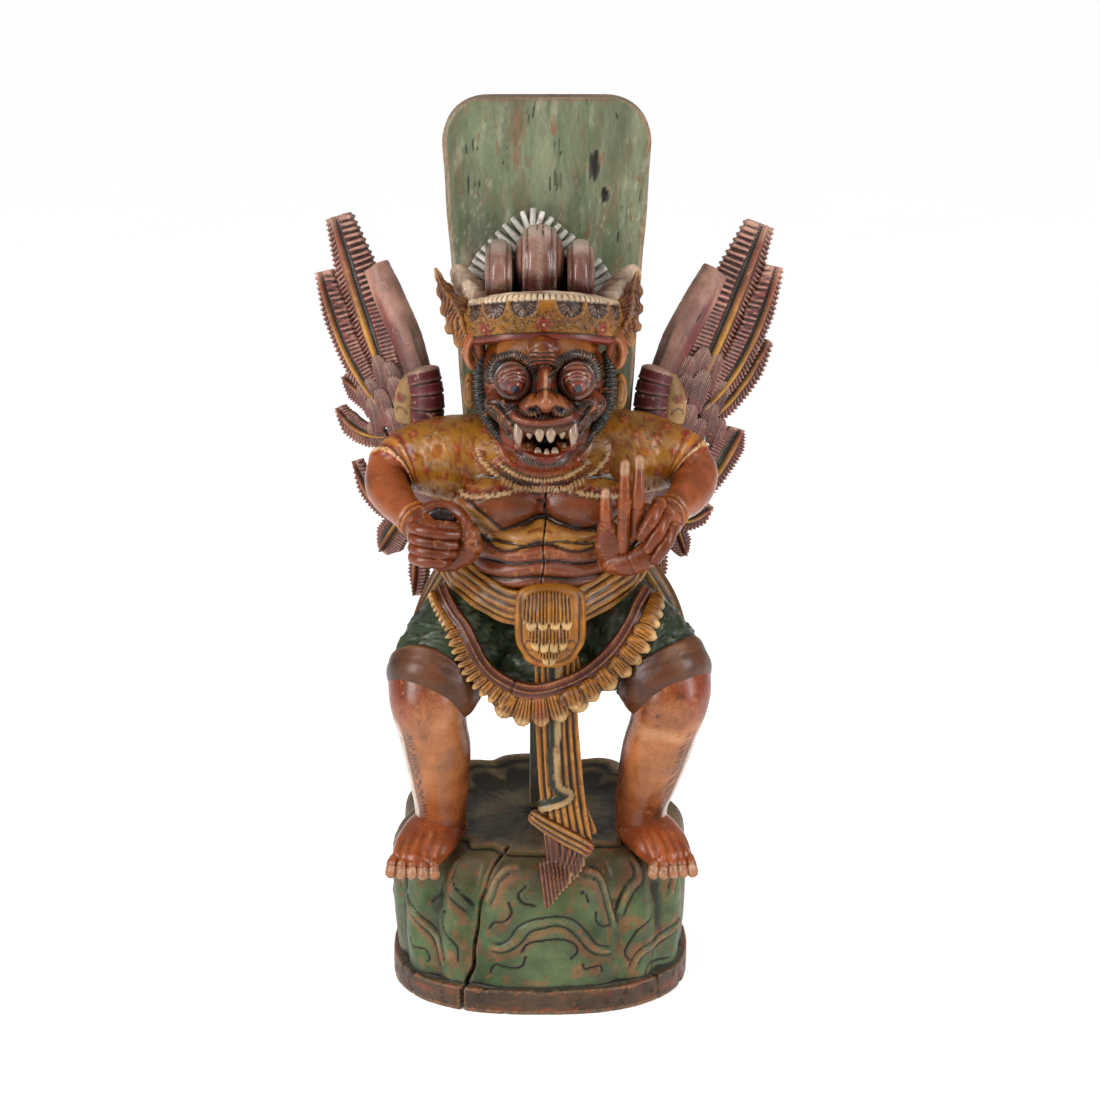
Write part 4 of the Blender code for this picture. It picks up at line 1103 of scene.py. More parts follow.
for side, rows in LEGS.items():
    points, u, v = limb(rows, length=180, ring=130)
    x, y, z = grid_of(points)
    outer = np.cos(v) * side
    front = smooth(0.0, 0.9,
                   np.sin(v) * np.sign(np.sum((y - y.mean(1, keepdims=True)) * -np.sin(v))))
    tone = ripple(60 + side, u * 6, np.cos(v) * 1.5, np.sin(v) * 1.5)
    # The pale coat down the front of each shin is a painted highlight.
    paint = coats(
        SKIN * 0.8, (SKIN * 1.3, smooth(-0.1, 0.9, tone) * 0.6),
        ((0.66, 0.36, 0.17), front * smooth(14, 80, z) * smooth(150, 120, z) * 0.6),
        ((0.66, 0.36, 0.2),
         bump(np.hypot((outer - 0.1) * 20, z - 146), 15) * front * (0.75 if side > 0 else 0.3)),
        ((0.3, 0.05, 0.022), bump(np.hypot((outer - 0.7) * 26, z - 158), 24) * 0.8),
        (SKIN_DARK, mottle(0.2, 0.9, 62 + side, u * 16, v * 1.2) * 0.5))
    knee = np.hypot((outer + 0.05) * 24, (z - 143) * 0.9)
    relief = 0.8 * tone + 3.0 * bump(knee, 22) * front
    relief = (relief + 2.2 * bump(outer + 0.8, 0.5) * bump(z - 96, 34)
              + 1.4 * bump(outer, 0.25) * front * bump(z - 70, 50))
    hairline = (bump(outer - 0.56, 0.12) * smooth(0.0, 0.5, front) * smooth(16, 40, z)
                * smooth(128, 112, z))
    strokes = smooth(0.2, -0.3, np.cos((z * 0.3 + outer * 4) * TURN))
    paint = mix(paint, DEEP_BROWN * 0.6, np.clip(hairline * strokes * 1.5, 0, 0.9))
    # The near-white strip down the outer side of each shin is a painted reflection of a side light.
    strip = smooth(0.76, 0.84, outer) * smooth(14, 34, z) * smooth(134, 118, z)
    paint = coats(
        paint, ((0.95, 1.1, 1.35), strip * 0.8),
        ((0.04, 0.016, 0.014),
         bump(outer - 0.73, 0.06) * smooth(16, 40, z) * smooth(128, 112, z) * 0.8))
    crackle = (bump(ripple(68 + side, u * 42, np.cos(v) * 5, np.sin(v) * 5), 0.05)
               * bump(knee - 8, 24))
    paint = mix(paint, DEEP_BROWN * 0.7, crackle * 0.75)
    worn = mottle(0.0, 0.9, 69 + side, u * 20, v * 1.2) * front * smooth(70, 130, z)
    paint = mix(paint, (0.95, 0.72, 0.5), worn * (0.45 if side > 0 else 0.2))
    ankle = bump(z - 20 - 3 * outer, 2.6)
    legs.add(raised(points, relief - 1.4 * ankle), mix(paint, SKIN_DARK * 0.5, ankle * 0.7))
    foot_rows, (toe_x, toe_y, half) = FEET[side]
    points, u, v = limb(foot_rows, length=100, ring=110)
    x, y, z = grid_of(points)
    tone = ripple(64 + side, x * 0.05, y * 0.05)
    paint = mix(SKIN * 1.1, SKIN_DARK * 1.4, smooth(-0.2, 0.9, tone) * 0.5)
    share = (x - np.interp(-y, [40, 66, 90, 110], [r[0] for r in foot_rows])) / abs(half)
    tendon = np.cos(share * TURN * 2.1) * smooth(-72, -104, y) * (z > 3)
    paint = coats(
        paint, (SKIN_DARK * 0.8, smooth(0.2, -0.9, tendon) * smooth(-80, -104, y) * 0.32),
        (SKIN * 1.7, bump(tendon - 1, 0.3) * smooth(-72, -100, y) * 0.35))
    legs.add(raised(points, 0.5 * tone + 0.5 * tendon), paint)
    for k in range(5):
        across = (k / 2 - 1) * half
        back = 3.0 * abs(k / 2 - 0.4)
        points, u, v = limb([(toe_x + across * 0.82, toe_y + 7, 1, 4.6, 6),
                             (toe_x + across * 0.92, toe_y - 5 + back, 0, 4.8, 6),
                             (toe_x + across, toe_y - 12 + back, -6, 5.0, 5)], ACROSS, 40, 36)
        x, y, z = grid_of(points)
        rough = ripple(66 + k, x * 0.5, y * 0.5, z * 0.5)
        paint = coats(
            SKIN, (SKIN_DARK, smooth(-0.3, 0.8, rough) * 0.6),
            (BONE * 0.6,
             smooth(0.6, 0.9, u + 0.15 * rough) * (0.45 + 0.5 * smooth(-0.2, 0.6, rough))),
            (BLACK, bump(u - 0.72, 0.03) * (z > -6) * 0.5))
        legs.add(raised(points, 0.45 * rough - 0.8 * bump(u - 0.7, 0.03)), paint)
legs.finish(SKIN_FINISH, "figure_paint", "statue")

# %% [markdown]
# ## The skirt
#
# A short tied skirt covers the thighs, carved all over in shallow leaves and painted a dark
# leaf green. Where the cloth ends, above each knee, there is a wide glossy brown border,
# whose sheen is painted on as pale patches.
# The leaves are carved with a small veiner: here they are petals on a slanted lattice,
# each with a middle vein, worked out from the position along and round the thigh.

# %% The skirt
Grid.share = 0.4


def leaf_relief(a, b, pitch, seed):
    """Shallow curling leaves on a slanted lattice, as a height and a dark groove share."""
    draw = np.random.default_rng(seed)
    table = draw.uniform(-1, 1, (64, 64))
    wa, wb = a + 0.22 * pitch * np.sin(b / pitch * 2.1), b + 0.22 * pitch * np.sin(a / pitch * 1.7)
    row = np.floor(wb / pitch).astype(int)
    cell = wa / pitch + 0.5 * (row % 2)
    ia = np.floor(cell).astype(int) % 64
    da, db = cell - np.floor(cell) - 0.5, wb / pitch - row - 0.5
    lean = table[ia, row % 64] * 2.6
    p = da * np.cos(lean) - db * np.sin(lean)
    q = da * np.sin(lean) + db * np.cos(lean) + 0.5 * p * p
    body = 1 - (p / 0.46) ** 2 - (q / (0.2 + 0.05 * np.cos(p * 30))) ** 2
    inside = smooth(-0.25, 0.45, body)
    veins = bump(q, 0.035) + 0.6 * bump(((p * 9 + np.abs(q) * 7) % 1) - 0.5, 0.16)
    outline = bump(body + 0.12, 0.3)
    lift = 1.5 * inside - 0.8 * inside * veins - 0.6 * outline
    return lift, np.clip(inside * veins * 0.8 + outline, 0, 1)


def cloth_paint(a, b, seed, pitch=15.0):
    """The green ground with carved leaves, some of them picked out in dark red."""
    lift, groove = leaf_relief(a, b, pitch, seed)
    tone = ripple(seed, a * 0.06, b * 0.06)
    colour = coats(
        GREEN * 0.85, (LEAF * 0.75, smooth(0.4, 1.4, lift + 0.3 * tone)),
        ((0.15, 0.045, 0.035), mottle(0.3, 0.85, seed + 1, a * 0.1, b * 0.1) * 0.45),
        (BLACK * 1.6, groove * 0.75))
    return colour, lift


skirt = Piece("skirt")
THIGHS = {
    -1: ((-26, -26, 214, 44, 44), (-39, -36, 206, 46, 47), (-66, -62, 188, 43, 45),
         (-82, -76, 172, 40, 42), (-93, -90, 155, 38, 40)),
    1: ((32, -26, 214, 44, 44), (45, -36, 206, 46, 47), (78, -62, 189, 43, 45),
        (97, -76, 175, 40, 42), (110, -90, 158, 38, 40)),
}
for side, rows in THIGHS.items():
    points, u, v = limb(rows, side=BACKWARD, length=190, ring=200, blunt=0.6)
    x, y, z = grid_of(points)
    paint, lift = cloth_paint(u * 120, v * 42, 70 + side, 15.5)
    fold = np.sin(v * 5 + u * 3)
    relief = lift * 1.1 + 0.6 * fold
    hem = 0.86 + 0.03 * np.cos(v + 0.6) + 0.02 * np.sin(v * 3)
    cuff = u > hem
    gloss = ripple(72 + side, u * 14, v * 1.3)
    # The pale patches on the brown border are a painted sheen.
    leather = coats(
        (0.2, 0.075, 0.034), ((0.52, 0.3, 0.19), smooth(0.3, 0.9, gloss) * 0.5),
        ((0.055, 0.022, 0.012), mottle(-0.2, 0.6, 74 + side, u * 9, v * 1.0) * 0.65))
    paint = np.where(cuff[..., None], leather, paint)
    relief = np.where(cuff, 2.0 + 0.8 * gloss, relief)
    edge_line = bump((u - hem) * 120, 1.8)
    relief -= 1.2 * edge_line
    paint = mix(paint, BLACK, edge_line * 0.7)
    skirt.add(raised(points, relief), paint)

MIDDLE_CLOTH_AXIS = ((4, -20, 150), (4, -24, 200), (4, -20, 254))
lap = swell(MIDDLE_CLOTH_AXIS,
            ((4, -20, 206, 84, 58, 48), (4, -30, 190, 50, 56, 40), (4, -62, 172, 50, 46, 24)),
                      melt=5, rows=110, ring=220, front=0.5)
x, y, z = grid_of(lap)
paint, lift = cloth_paint(x + 0.4 * y, z, 75, 15.5)
skirt.add(raised(lap, lift * 1.1), paint)

HEMS = {
    -1: ((-50, 2, 250, 26, 18), (-64, 4, 226, 28, 18), (-80, -2, 196, 28, 18),
         (-92, -20, 168, 27, 20)),
    1: ((58, 2, 252, 26, 18), (76, 0, 228, 28, 18), (94, -4, 198, 28, 18), (104, -20, 172, 27, 20)),
}
for side, rows in HEMS.items():
    points, u, v = limb(rows, length=130, ring=150)
    x, y, z = grid_of(points)
    paint, lift = cloth_paint(u * 100, v * 28, 78 + side)
    outer = np.cos(v) * side
    pleat = np.sin(v * 16 + 0.6 * np.sin(u * 5))
    border = smooth(0.25, 0.45, outer)
    ochre = coats(
        GOLD * 0.62, (GOLD_DARK * 0.7, smooth(0.2, -0.8, pleat)),
        ((0.16, 0.055, 0.03), smooth(0.86, 0.96, outer) * (0.8 if side < 0 else 0.45)))
    paint = mix(paint, ochre, border)
    relief = lift * (1 - border) + border * 1.3 * pleat
    skirt.add(raised(points, relief), paint)
skirt.finish(CLOTH_FINISH, "figure_paint", "statue")

# %% [markdown]
# ## Belt, apron and buckle
#
# Over the skirt hangs a curved apron: a plum-coloured ribbed band with a deep fringe below
# it, cut as hundreds of fine V-shaped strokes. The belt is a bundle of pleats that dips
# under the belly, and a tongue-shaped buckle in three tiers hides the knot. All of them are
# ochre that imitates gold leaf, with the ends of the strokes picked out in white.

# %% The belt and the apron
Grid.share = 0.42
cloth = Piece("belt_apron_and_sash")
belt_rows = [(3 + 77 * math.sin(a), -30 - 80 * math.cos(a),
              241 - 14 * math.cos(a) ** 3 + 10 * (1 - math.cos(a)), 8, 15)
             for a in np.radians(np.linspace(-150, 150, 25))]
points, u, v = limb(belt_rows, side=FORWARD, length=330, ring=96)
x, y, z = grid_of(points)
strand = np.sin(v) * 15
pleat = np.cos(strand * 0.95 + 0.7 * np.sin(u * 42))
paint = coats(
    GOLD * 0.95, (GOLD_DARK * 0.9, smooth(0.0, -0.9, pleat)),
    (CREAM, smooth(0.75, 1.0, pleat) * 0.25))
dash = bump(((u * 34) % 1) - 0.5, 0.28) * bump(strand - 1.5, 2.4)
paint = mix(paint, RED * 1.2, dash * 0.9)
cloth.add(raised(points, 1.2 * pleat + 0.5 * np.sin(u * 90 + v)), paint)

BAND = ((-84, -72, 234), (-80, -84, 228), (-74, -92, 220), (-66, -100, 211), (-58, -108, 197),
        (-51, -112, 184), (-39, -115, 171), (-20, -117, 161), (-2, -119, 159), (16, -119, 163),
        (38, -115, 172), (58, -109, 187), (70, -108, 202), (79, -102, 216), (85, -90, 226),
        (91, -74, 233))
points, u, v = limb([(*p, 5.6, 7.6) for p in BAND], side=FORWARD, length=420, ring=60)
rib = np.cos(np.sin(v) * 9.5)
tone = ripple(81, u * 30, v * 2)
plum = coats(
    (0.15, 0.045, 0.045), ((0.24, 0.1, 0.09), smooth(-0.2, 0.8, tone)),
    ((0.07, 0.028, 0.03), smooth(0.1, -0.8, rib)))
split = bump(u - 0.455, 0.0035)
cloth.add(raised(points, 0.8 * rib + 0.5 * tone - 3 * split), mix(plum, BLACK, split))

centre = np.array([5.0, 236.0])


def fringe(start, end, inner, widths, lobes, seed, lift=0.0, length=420):
    """A strip of strokes outside the band, between two shares of its length.

    The strip's middle line is the band's line moved outwards from the lap's centre.
    """
    line = spline(BAND, 400)[int(start * 399):int(end * 399) + 1]
    line = line[np.linspace(0, len(line) - 1, 28).astype(int)]
    outward = line[:, [0, 2]] - centre
    outward /= np.linalg.norm(outward, axis=1)[:, None]
    half = np.interp(np.linspace(0, 1, 28), np.linspace(0, 1, len(widths)), widths)
    rows = [(p[0] + o[0] * (inner + h), p[1] + 1.5 + lift, p[2] + o[1] * (inner + h), 4.6, h)
            for p, o, h in zip(line, outward, half)]
    points, u, _ = limb(rows, side=FORWARD, length=length, ring=72)
    x, y, z = grid_of(points)
    away = np.hypot(x - centre[0], z - centre[1])
    middle = np.interp(u, np.linspace(0, 1, len(rows)),
                       [math.hypot(r[0] - centre[0], r[2] - centre[1]) for r in rows])
    outer = np.clip((away - middle) / np.interp(u, np.linspace(0, 1, 28), half), -1, 1)
    run = u * (end - start) * 300
    stroke = np.cos(run * TURN / 2.7 + 1.6 * outer + 0.6 * np.sin(run * 0.3))
    lobe = np.abs(np.sin(run * math.pi / lobes))
    front = y < np.median(y) + 2
    relief = 0.8 * stroke * front * smooth(-0.95, -0.5, outer) * smooth(1.1, 0.7, outer)
    relief = relief + smooth(0.3, 1.0, outer) * (3.6 * lobe - 2.6) + 2.2 * lobe * front
    paint = coats(
        GOLD, (GOLD_DARK * 0.75, smooth(0.15, -0.7, stroke)),
        ((0.17, 0.07, 0.04), mottle(0.2, 0.9, seed, run * 0.09, outer) * 0.55),
        (CREAM * 1.1, smooth(0.3, 0.85, outer) * lobe * 0.8),
        (GOLD_DARK * 0.35, smooth(0.4, 0.0, lobe) * 0.75))
    return raised(points, relief), paint, run


for start, end, inner, widths, lobes, seed, lift in (
        (0.02, 0.46, 5, (3.5, 4, 4.5, 5.5, 6, 7), 7, 83, -3.0),
        (0.44, 0.64, 5, (10, 12, 12, 10), 13.0, 84, -2.0),
        (0.61, 0.985, 5, (7.5, 8, 8.5, 8.5, 8.5, 8, 6.5), 11, 85, -6.0)):
    points, paint, run = fringe(start, end, inner, widths, lobes, seed, lift,
                                240 + 140 * (start < 0.4))
    if start == 0.44:
        paint = mix(paint, RED * 1.1, bump(run - 32, 5) * 0.55)
    cloth.add(points, paint)

# %% The buckle
Grid.share = 0.62


def plate(rows, length=60, ring=110):
    """An upright tongue whose painted face is returned with its grid places."""
    points = limb(rows, length=length, ring=ring)[0]
    x, y, z = grid_of(points)
    return points, x, y, z, y < np.median(y) + 1


points, x, y, z, face = plate([(9, -112, 241, 29, 11), (9, -118, 222, 29, 12),
                               (9, -121, 204, 28, 11), (9, -121, 192, 22, 10)])
rim = elliptic(x - 9, 29, np.minimum(z - 208, 0), 25)
tone = ripple(86, x * 0.12, z * 0.12)
paint = mix(GOLD * 1.1, GOLD_DARK * 1.2, smooth(0.0, 0.9, tone) * 0.6)
line = bump(rim - 0.84, 0.045) * face
scroll = bump(np.hypot(np.abs(x - 9) - 17, z - 202) - 4.5, 1.4) * face
paint = coats(
    paint, (GOLD_DARK * 0.6, np.clip(line + scroll, 0, 1) * 0.8),
    ((0.3, 0.07, 0.03), bump(np.hypot(x + 2, z - 186) / 5, 1) * 0.8 * face))
cloth.add(raised(points, 1.2 * smooth(0.86, 0.95, rim) * face - 1.3 * line - scroll + 0.3 * tone),
          paint)
for rows, foot, pitch, lobes in (
        ([(7, -123, 241, 20, 8), (7, -130, 232, 21, 8), (7, -131, 222, 20, 7),
          (7, -129, 218, 17, 5)], 219, 3.3, 10),
        ([(8, -129, 222, 16, 6), (8, -134, 212, 17, 7), (8, -134, 204, 14, 6),
          (8, -132, 201, 10, 4)], 202, 3.0, 8),
        ([(8, -127, 205, 12, 6), (8, -133, 199, 11, 6), (8, -133, 192, 6, 5),
          (8, -131, 187, 1.5, 3)], 188, 2.6, 6)):
    points, x, y, z, face = plate(rows, 40, 150)
    lobe = np.abs(np.sin((x - 8) * math.pi / lobes))
    comb = np.cos((x - 8) * (1 + (z - foot) * 0.004) * TURN / pitch) * face
    low = smooth(foot + 6, foot + 2, z - 2 * (1 - lobe)) * face
    paint = coats(
        GOLD * 1.1, (GOLD_DARK * 0.45, smooth(0.2, -0.5, comb) * face * (1 - low)),
        (CREAM, low * 0.85),
        ((0.1, 0.045, 0.05), low * smooth(0.35, 0.1, lobe) * 0.8))
    cloth.add(raised(points, 1.1 * comb * (1 - low) + 1.6 * low * lobe - 1.2 * low * (lobe < 0.25)),
              paint)

# %% [markdown]
# ## The sash
#
# The end of the sash falls from under the apron to the rock. It is one pleated cloth folded
# over on itself: ochre pleats with a dark zigzag ribbon, a ribbed turned-over edge, and then
# the plum underside with its point on the base.

# %% The sash
Grid.share = 0.5
ZIGZAG = ((13, 178), (13, 133), (12.7, 78), (24, 65), (0.4, 54), (-2, 46))
points, u, v = limb([(13, -100, 182, 20, 9), (14, -104, 165, 20, 9), (15, -108, 120, 19, 9),
                     (18, -112, 76, 20, 9), (22, -116, 48, 21, 9), (26, -118, 28, 22, 9)],
                    length=230, ring=130)
x, y, z = grid_of(points)
front = y < -104
fan = ((x - np.interp(z, [20, 50, 76, 120, 180], [26, 21, 18, 15, 13]))
       / np.interp(z, [20, 180], [22, 19]))
pleat = np.cos(fan * TURN * 3.6)
paint = mix(GOLD * 1.12, GOLD_DARK * 0.6, smooth(0.1, -0.8, pleat))
gap, along, side = near(ZIGZAG, x, z, 70)
ribbon = front * smooth(5.6, 4.6, gap)
paint = coats(
    paint, ((0.03, 0.05, 0.045), ribbon * (side > 0)),
    (CREAM * 0.55, ribbon * (side <= 0)),
    (BLACK, front * bump(gap - 5.8, 0.9) * 0.8),
    (BROWN * 0.7, front * bump(gap, 0.6) * 0.7))
relief = 1.7 * pleat * (1 - ribbon) + ribbon * (1.8 - (side > 0))
paint = mix(paint, (0.22, 0.05, 0.03), front * bump(np.hypot(x + 1, z - 46), 7) * 0.8)
cloth.add(raised(points, relief), paint)
points, u, v = limb([(-3, -119, 45, 7, 6), (10, -124, 38, 8, 6.5), (26, -127, 29, 8.5, 6.5),
                     (40, -126, 20, 8, 6)],
                    side=UP, length=90, ring=60)
ridge = np.cos(np.cos(v) * 10)
paint = mix((0.34, 0.2, 0.075), (0.085, 0.04, 0.02), smooth(0.2, -0.7, ridge))
cloth.add(raised(points, ridge), mix(paint, RED, smooth(0.93, 1.0, u) * 0.6))
for rows, seed in (([(20, -120, 32, 18, 8), (22, -123, 20, 19, 8), (22, -125, 8, 17, 7),
                     (20, -124, -4, 13, 6)], 87),
                   ([(12, -126, 6, 13, 6), (14, -129, -4, 14, 6), (10, -131, -16, 9, 5),
                     (7, -132, -30, 3, 3)], 88)):
    points, u, v = limb(rows, length=90, ring=110)
    x, y, z = grid_of(points)
    pleat = np.cos((x - 8 + z * 0.12) * TURN / 3.4)
    tone = ripple(seed, x * 0.1, z * 0.1)
    paint = coats(
        (0.2, 0.075, 0.07), ((0.3, 0.16, 0.13), smooth(-0.2, 0.8, tone)),
        ((0.06, 0.025, 0.025), smooth(0.2, -0.7, pleat) * 0.8),
        (CREAM * 0.8, smooth(0.72, 0.95, np.cos(v)) * 0.5))
    cloth.add(raised(points, 0.9 * pleat), paint)
cloth.finish(GOLD_FINISH, "figure_paint", "statue")

# %% [markdown]
# ## The face
#
# The garuda has a mask-like face: round bulging eyes, flared nostrils, a wide grin with
# pointed teeth, and a ruff of beard drawn in blue-black strokes. The skull, jaw, muzzle,
# cheeks and nose are eggs melted into one skin, and the mouth is a deep hollow cut in it.
# Brows, moustache and lips are curves again, drawn on the front of the face. Eyeballs,
# lids and teeth are separate small forms, because their edges have to stay sharp.

# %% The skin of the face
Grid.share = 0.6
FACE_X = 4.5
HEAD_AXIS = ((3, -50, 339), (3, -56, 360), (3, -54, 400), (3, -48, 440), (3, -46, 478))
HEAD = ((3, -48, 412, 54, 54, 64), (4, -76, 374, 42, 40, 26), (4.5, -98, 390, 38, 25, 14),
        (4.5, -100, 357, 25, 22, 11), (-28, -88, 401, 18, 19, 13), (38, -88, 401, 18, 19, 13),
        (5, -106, 422, 7.5, 14, 16), (5.5, -122, 411, 9, 14, 9), (-7, -114, 406, 10, 14, 8),
        (18, -114, 406, 10, 14, 8), (4, -78, 446, 40, 28, 20), (3, -98, 453, 11, 12, 9))
head = swell(HEAD_AXIS, HEAD, melt=3.2, rows=250, ring=380, front=0.72)
x, y, z = grid_of(head)
facing = smooth(-46, -62, y)
relief = 0.25 * ripple(90, x * 0.08, z * 0.08)
tone = ripple(91, x * 0.06, z * 0.06)
face = coats(
    SKIN * (0.72, 0.55, 0.5), (SKIN * (1.0, 0.8, 0.7), smooth(0.0, 0.9, tone) * 0.6),
    (SKIN_DARK, mottle(0.2, 0.9, 92, x * 0.13, z * 0.13) * 0.4),
    (GOLD * 1.15, smooth(440, 447, z) * smooth(10, 16, np.abs(x - FACE_X))),
    ((0.1, 0.085, 0.07),
     facing * bump(elliptic(np.abs(x - FACE_X) - 36, 20, z - 392, 16), 1) * 0.65))


def draw(path, wide, lift, colour, strength=1.0, strokes=0, slant=0.0, samples=50,
         stroke_depth=0.8):
    """Lay a painted and carved ribbon on the face along a path of (x, z), with strokes
    across it: the stroke wave runs along the ribbon and leans by slant. The crest of each
    stroke is painted a paler copy of the colour, as a highlight."""
    global relief, face
    gap, along, side = near(path, x, z, samples)
    ends = smooth(-0.01, 0.06, along) * smooth(1.01, 0.94, along)
    on = bump(gap, wide) * facing * ends
    body = smooth(wide, wide * 0.75, gap) * facing
    relief += lift * on
    face = mix(face, colour, body * strength)
    if strokes:
        wave = np.cos((along * strokes + slant * gap * side) * TURN)
        relief += stroke_depth * wave * body
        # The crest of each stroke is painted a paler copy of the colour, as a highlight.
        face = mix(face, np.asarray(colour) * 2.4 + 0.02, body * smooth(0.4, 0.9, wave) * 0.5)
    return gap, along, side


MUSTACHE = ((-45, 401), (-39, 404), (-31.9, 405.2), (-24.2, 402), (-17.4, 399.3), (-8.9, 399.3),
            (6.3, 398.4), (16.4, 399.5), (24.9, 401.6), (33.4, 404.6), (42, 407), (51, 404))
UPPER_LIP = ((-23, 396.5), (-17, 394.2), (-10, 393), (-0.5, 392.2), (6, 392.6), (12.2, 393.2),
             (20, 394.6), (29.5, 397))
LOWER_LIP = ((-21, 374), (-17, 368.5), (-10, 364), (-0.5, 361.4), (6, 361), (12.3, 361.4),
             (20, 364), (27, 368.5), (31, 375))
STUBBLE = ((-19, 366), (-12.4, 361), (-3, 357), (7.2, 354.6), (17, 357), (25, 361.5), (31, 367))
draw(MUSTACHE, 4.4, 1.3, BLUE_BLACK, 0.92, 62, 0.16)
draw(STUBBLE, 3.4, 0.6, (0.05, 0.075, 0.1), 0.85, 34, 0.1)
for outer in (-1, 1):
    cx = -22.5 if outer < 0 else 31.2
    gap = elliptic(x - cx, 18.5, z - 424.5, 19.5)
    relief -= 2.4 * smooth(1.0, 0.72, gap) * facing
    face = mix(face, (0.15, 0.06, 0.035), bump(gap - 0.84, 0.14) * facing * 0.8)
    fold = [(FACE_X + outer * a, b) for a,
            b in ((42, 403), (37, 399), (31, 393.5), (26, 387), (22, 380))]
    draw(fold, 2.2, 2.6, (0.27, 0.12, 0.065), 0.85)
    # The carved hollow beside each fold is painted near black, as shade.
    shaded_hollow = [(FACE_X + outer * a, b) for a,
              b in ((38.5, 404), (34, 398), (28.5, 391.5), (24, 386))]
    draw(shaded_hollow, 2.2, -3.2, BLACK * 1.5, 0.85)
    outside = [(FACE_X + outer * a, b) for a, b in ((46, 400), (42, 394), (36, 387), (30, 378))]
    draw(outside, 3.6, 1.2, (0.055, 0.06, 0.06), 0.8, 24, 0.0)
    inner_line = [(FACE_X + outer * a, b) for a, b in ((20, 372), (26, 366), (20, 358))]
    draw(inner_line, 2.0, 0.8, (0.3, 0.1, 0.05), 0.6)
BROWS = (((-43, 417), (-42, 426), (-36, 437), (-26, 443.5), (-18.5, 444.5), (-12, 441.5),
          (-7.5, 435), (-5, 428)),
         ((50, 417), (48.6, 427), (43, 438), (33.3, 444.6), (25.7, 445), (18.5, 442), (13.8, 436.5),
          (12, 429)))
for path in BROWS:
    draw(path, 5.2, 2.6, BLUE_BLACK * 1.1, 0.95, 30, 0.0, 60, 1.0)
draw(UPPER_LIP, 3.2, 3.0, (0.3, 0.125, 0.115), 0.95)
draw([(a, b - 4.6) for a, b in UPPER_LIP], 1.3, -1.2, BLACK * 1.5, 0.8)
draw(LOWER_LIP, 3.0, 2.6, (0.22, 0.055, 0.05), 0.95)
gums = smooth(391, 388, z) * smooth(379, 382, z) * smooth(27, 23, np.abs(x - 5.5)) * facing
face = mix(face, (0.19, 0.115, 0.075), gums * 0.95)
mouth = (smooth(1.12, 0.86, elliptic(x - 5.8, 21.5, z - 373.6, np.where(z > 373.6, 7.4, 7.0)))
         * facing)
relief -= 24 * mouth
face = mix(face, BLACK * 0.8, smooth(0.05, 0.4, mouth))
for cx in (-4.6, 15.9):
    nostril = smooth(1.2, 0.6, elliptic(x - cx, 5.6, z - 404.6, 3.8)) * (y < -100)
    relief -= 5.0 * nostril
    face = mix(face, BLACK, smooth(0.1, 0.6, nostril))
# The pale bridge, the paler tip and the pale nostril wings are painted highlights on the nose.
ridge = bump(x - 5.2, 2.0) * smooth(412, 418, z) * smooth(438, 430, z) * (y < -90)
relief += 1.2 * ridge
face = coats(
    face, ((1.0, 0.85, 0.65), ridge * 0.9),
    ((0.9, 0.52, 0.3), bump(elliptic(x - 5.5, 9, z - 411, 7), 1) * (y < -104) * 0.75))
wing = bump(elliptic(np.abs(x - 5.5) - 12, 9, z - 411, 5), 1.0) * (y < -90)
face = mix(face, (0.95, 0.6, 0.4), wing * 0.7)
for place, half in ((450.5, 8), (446.8, 9), (443.2, 9.5), (439.8, 8)):
    gap = z - place + 0.02 * (x - 3) ** 2 * 0.4
    crease = bump(gap, 1.1) * smooth(half + 4, half, np.abs(x - 3)) * facing
    relief = (relief + 1.2 * crease
              - 0.8 * bump(gap - 1.9, 0.9) * smooth(half + 3, half, np.abs(x - 3)))
    face = mix(face, (0.4, 0.22, 0.14), crease * 0.6)
knob = smooth(1.1, 0.8, elliptic(x - 3, 12, z - 455, 7)) * facing
face = coats(
    face, (mix(GOLD * 0.8, (0.24, 0.06, 0.03), smooth(1, 6, x)), knob * 0.9),
    ((0.36, 0.095, 0.03), bump(elliptic(np.abs(x - FACE_X) - 44, 8, z - 412, 8), 1) * facing))
face = mix(face, (0.34, 0.09, 0.035), smooth(358, 352, z) * facing * 0.8) * (0.64, 0.52, 0.42)
behind = smooth(-44, -30, y)
face = mix(face, DEEP_BROWN, behind)
head_piece = Piece("head")
head_piece.add(raised(head, relief), face)

# %% The ruff of beard
for s in (-1, 1):
    rows = [(FACE_X + s * 51, -52, 436, 3, 3), (FACE_X + s * 54, -60, 424, 5.6, 4),
            (FACE_X + s * 53, -67, 405, 7.4, 4.5), (FACE_X + s * 48, -77, 389, 6.6, 4.5),
            (FACE_X + s * 41, -88, 378, 4.8, 4), (FACE_X + s * 31, -96, 369, 3.6, 3.5),
            (FACE_X + s * 22, -101, 362, 2.5, 2.5)]
    points, u, v = limb(rows, length=240, ring=70)
    strokes = np.cos(u * TURN * 34 + 2.2 * np.cos(v) + 2.6 * ripple(99 + s, u * 16, v))
    cross = np.cos(u * TURN * 19 - 2.4 * np.cos(v))
    paint = coats(
        BLUE_BLACK * 0.6, ((0.04, 0.05, 0.052), smooth(0.2, 0.9, strokes) * 0.6),
        (BLACK, smooth(0.1, -0.8, strokes) * 0.7))
    head_piece.add(raised(points, 0.6 * strokes + 0.25 * cross), paint)
head_piece.finish(SKIN_FINISH, "figure_paint", "statue")

# %% [markdown]
# ## Eyes and teeth
#
# Each eye is a ball with a heavy ringed lid that covers its upper half: three or four
# ridges run round it like ripples. Below the lid the ball is lacquered red-brown round a
# blue-black pupil. The teeth are little pegs cut to a point. These take the glossiest finish.

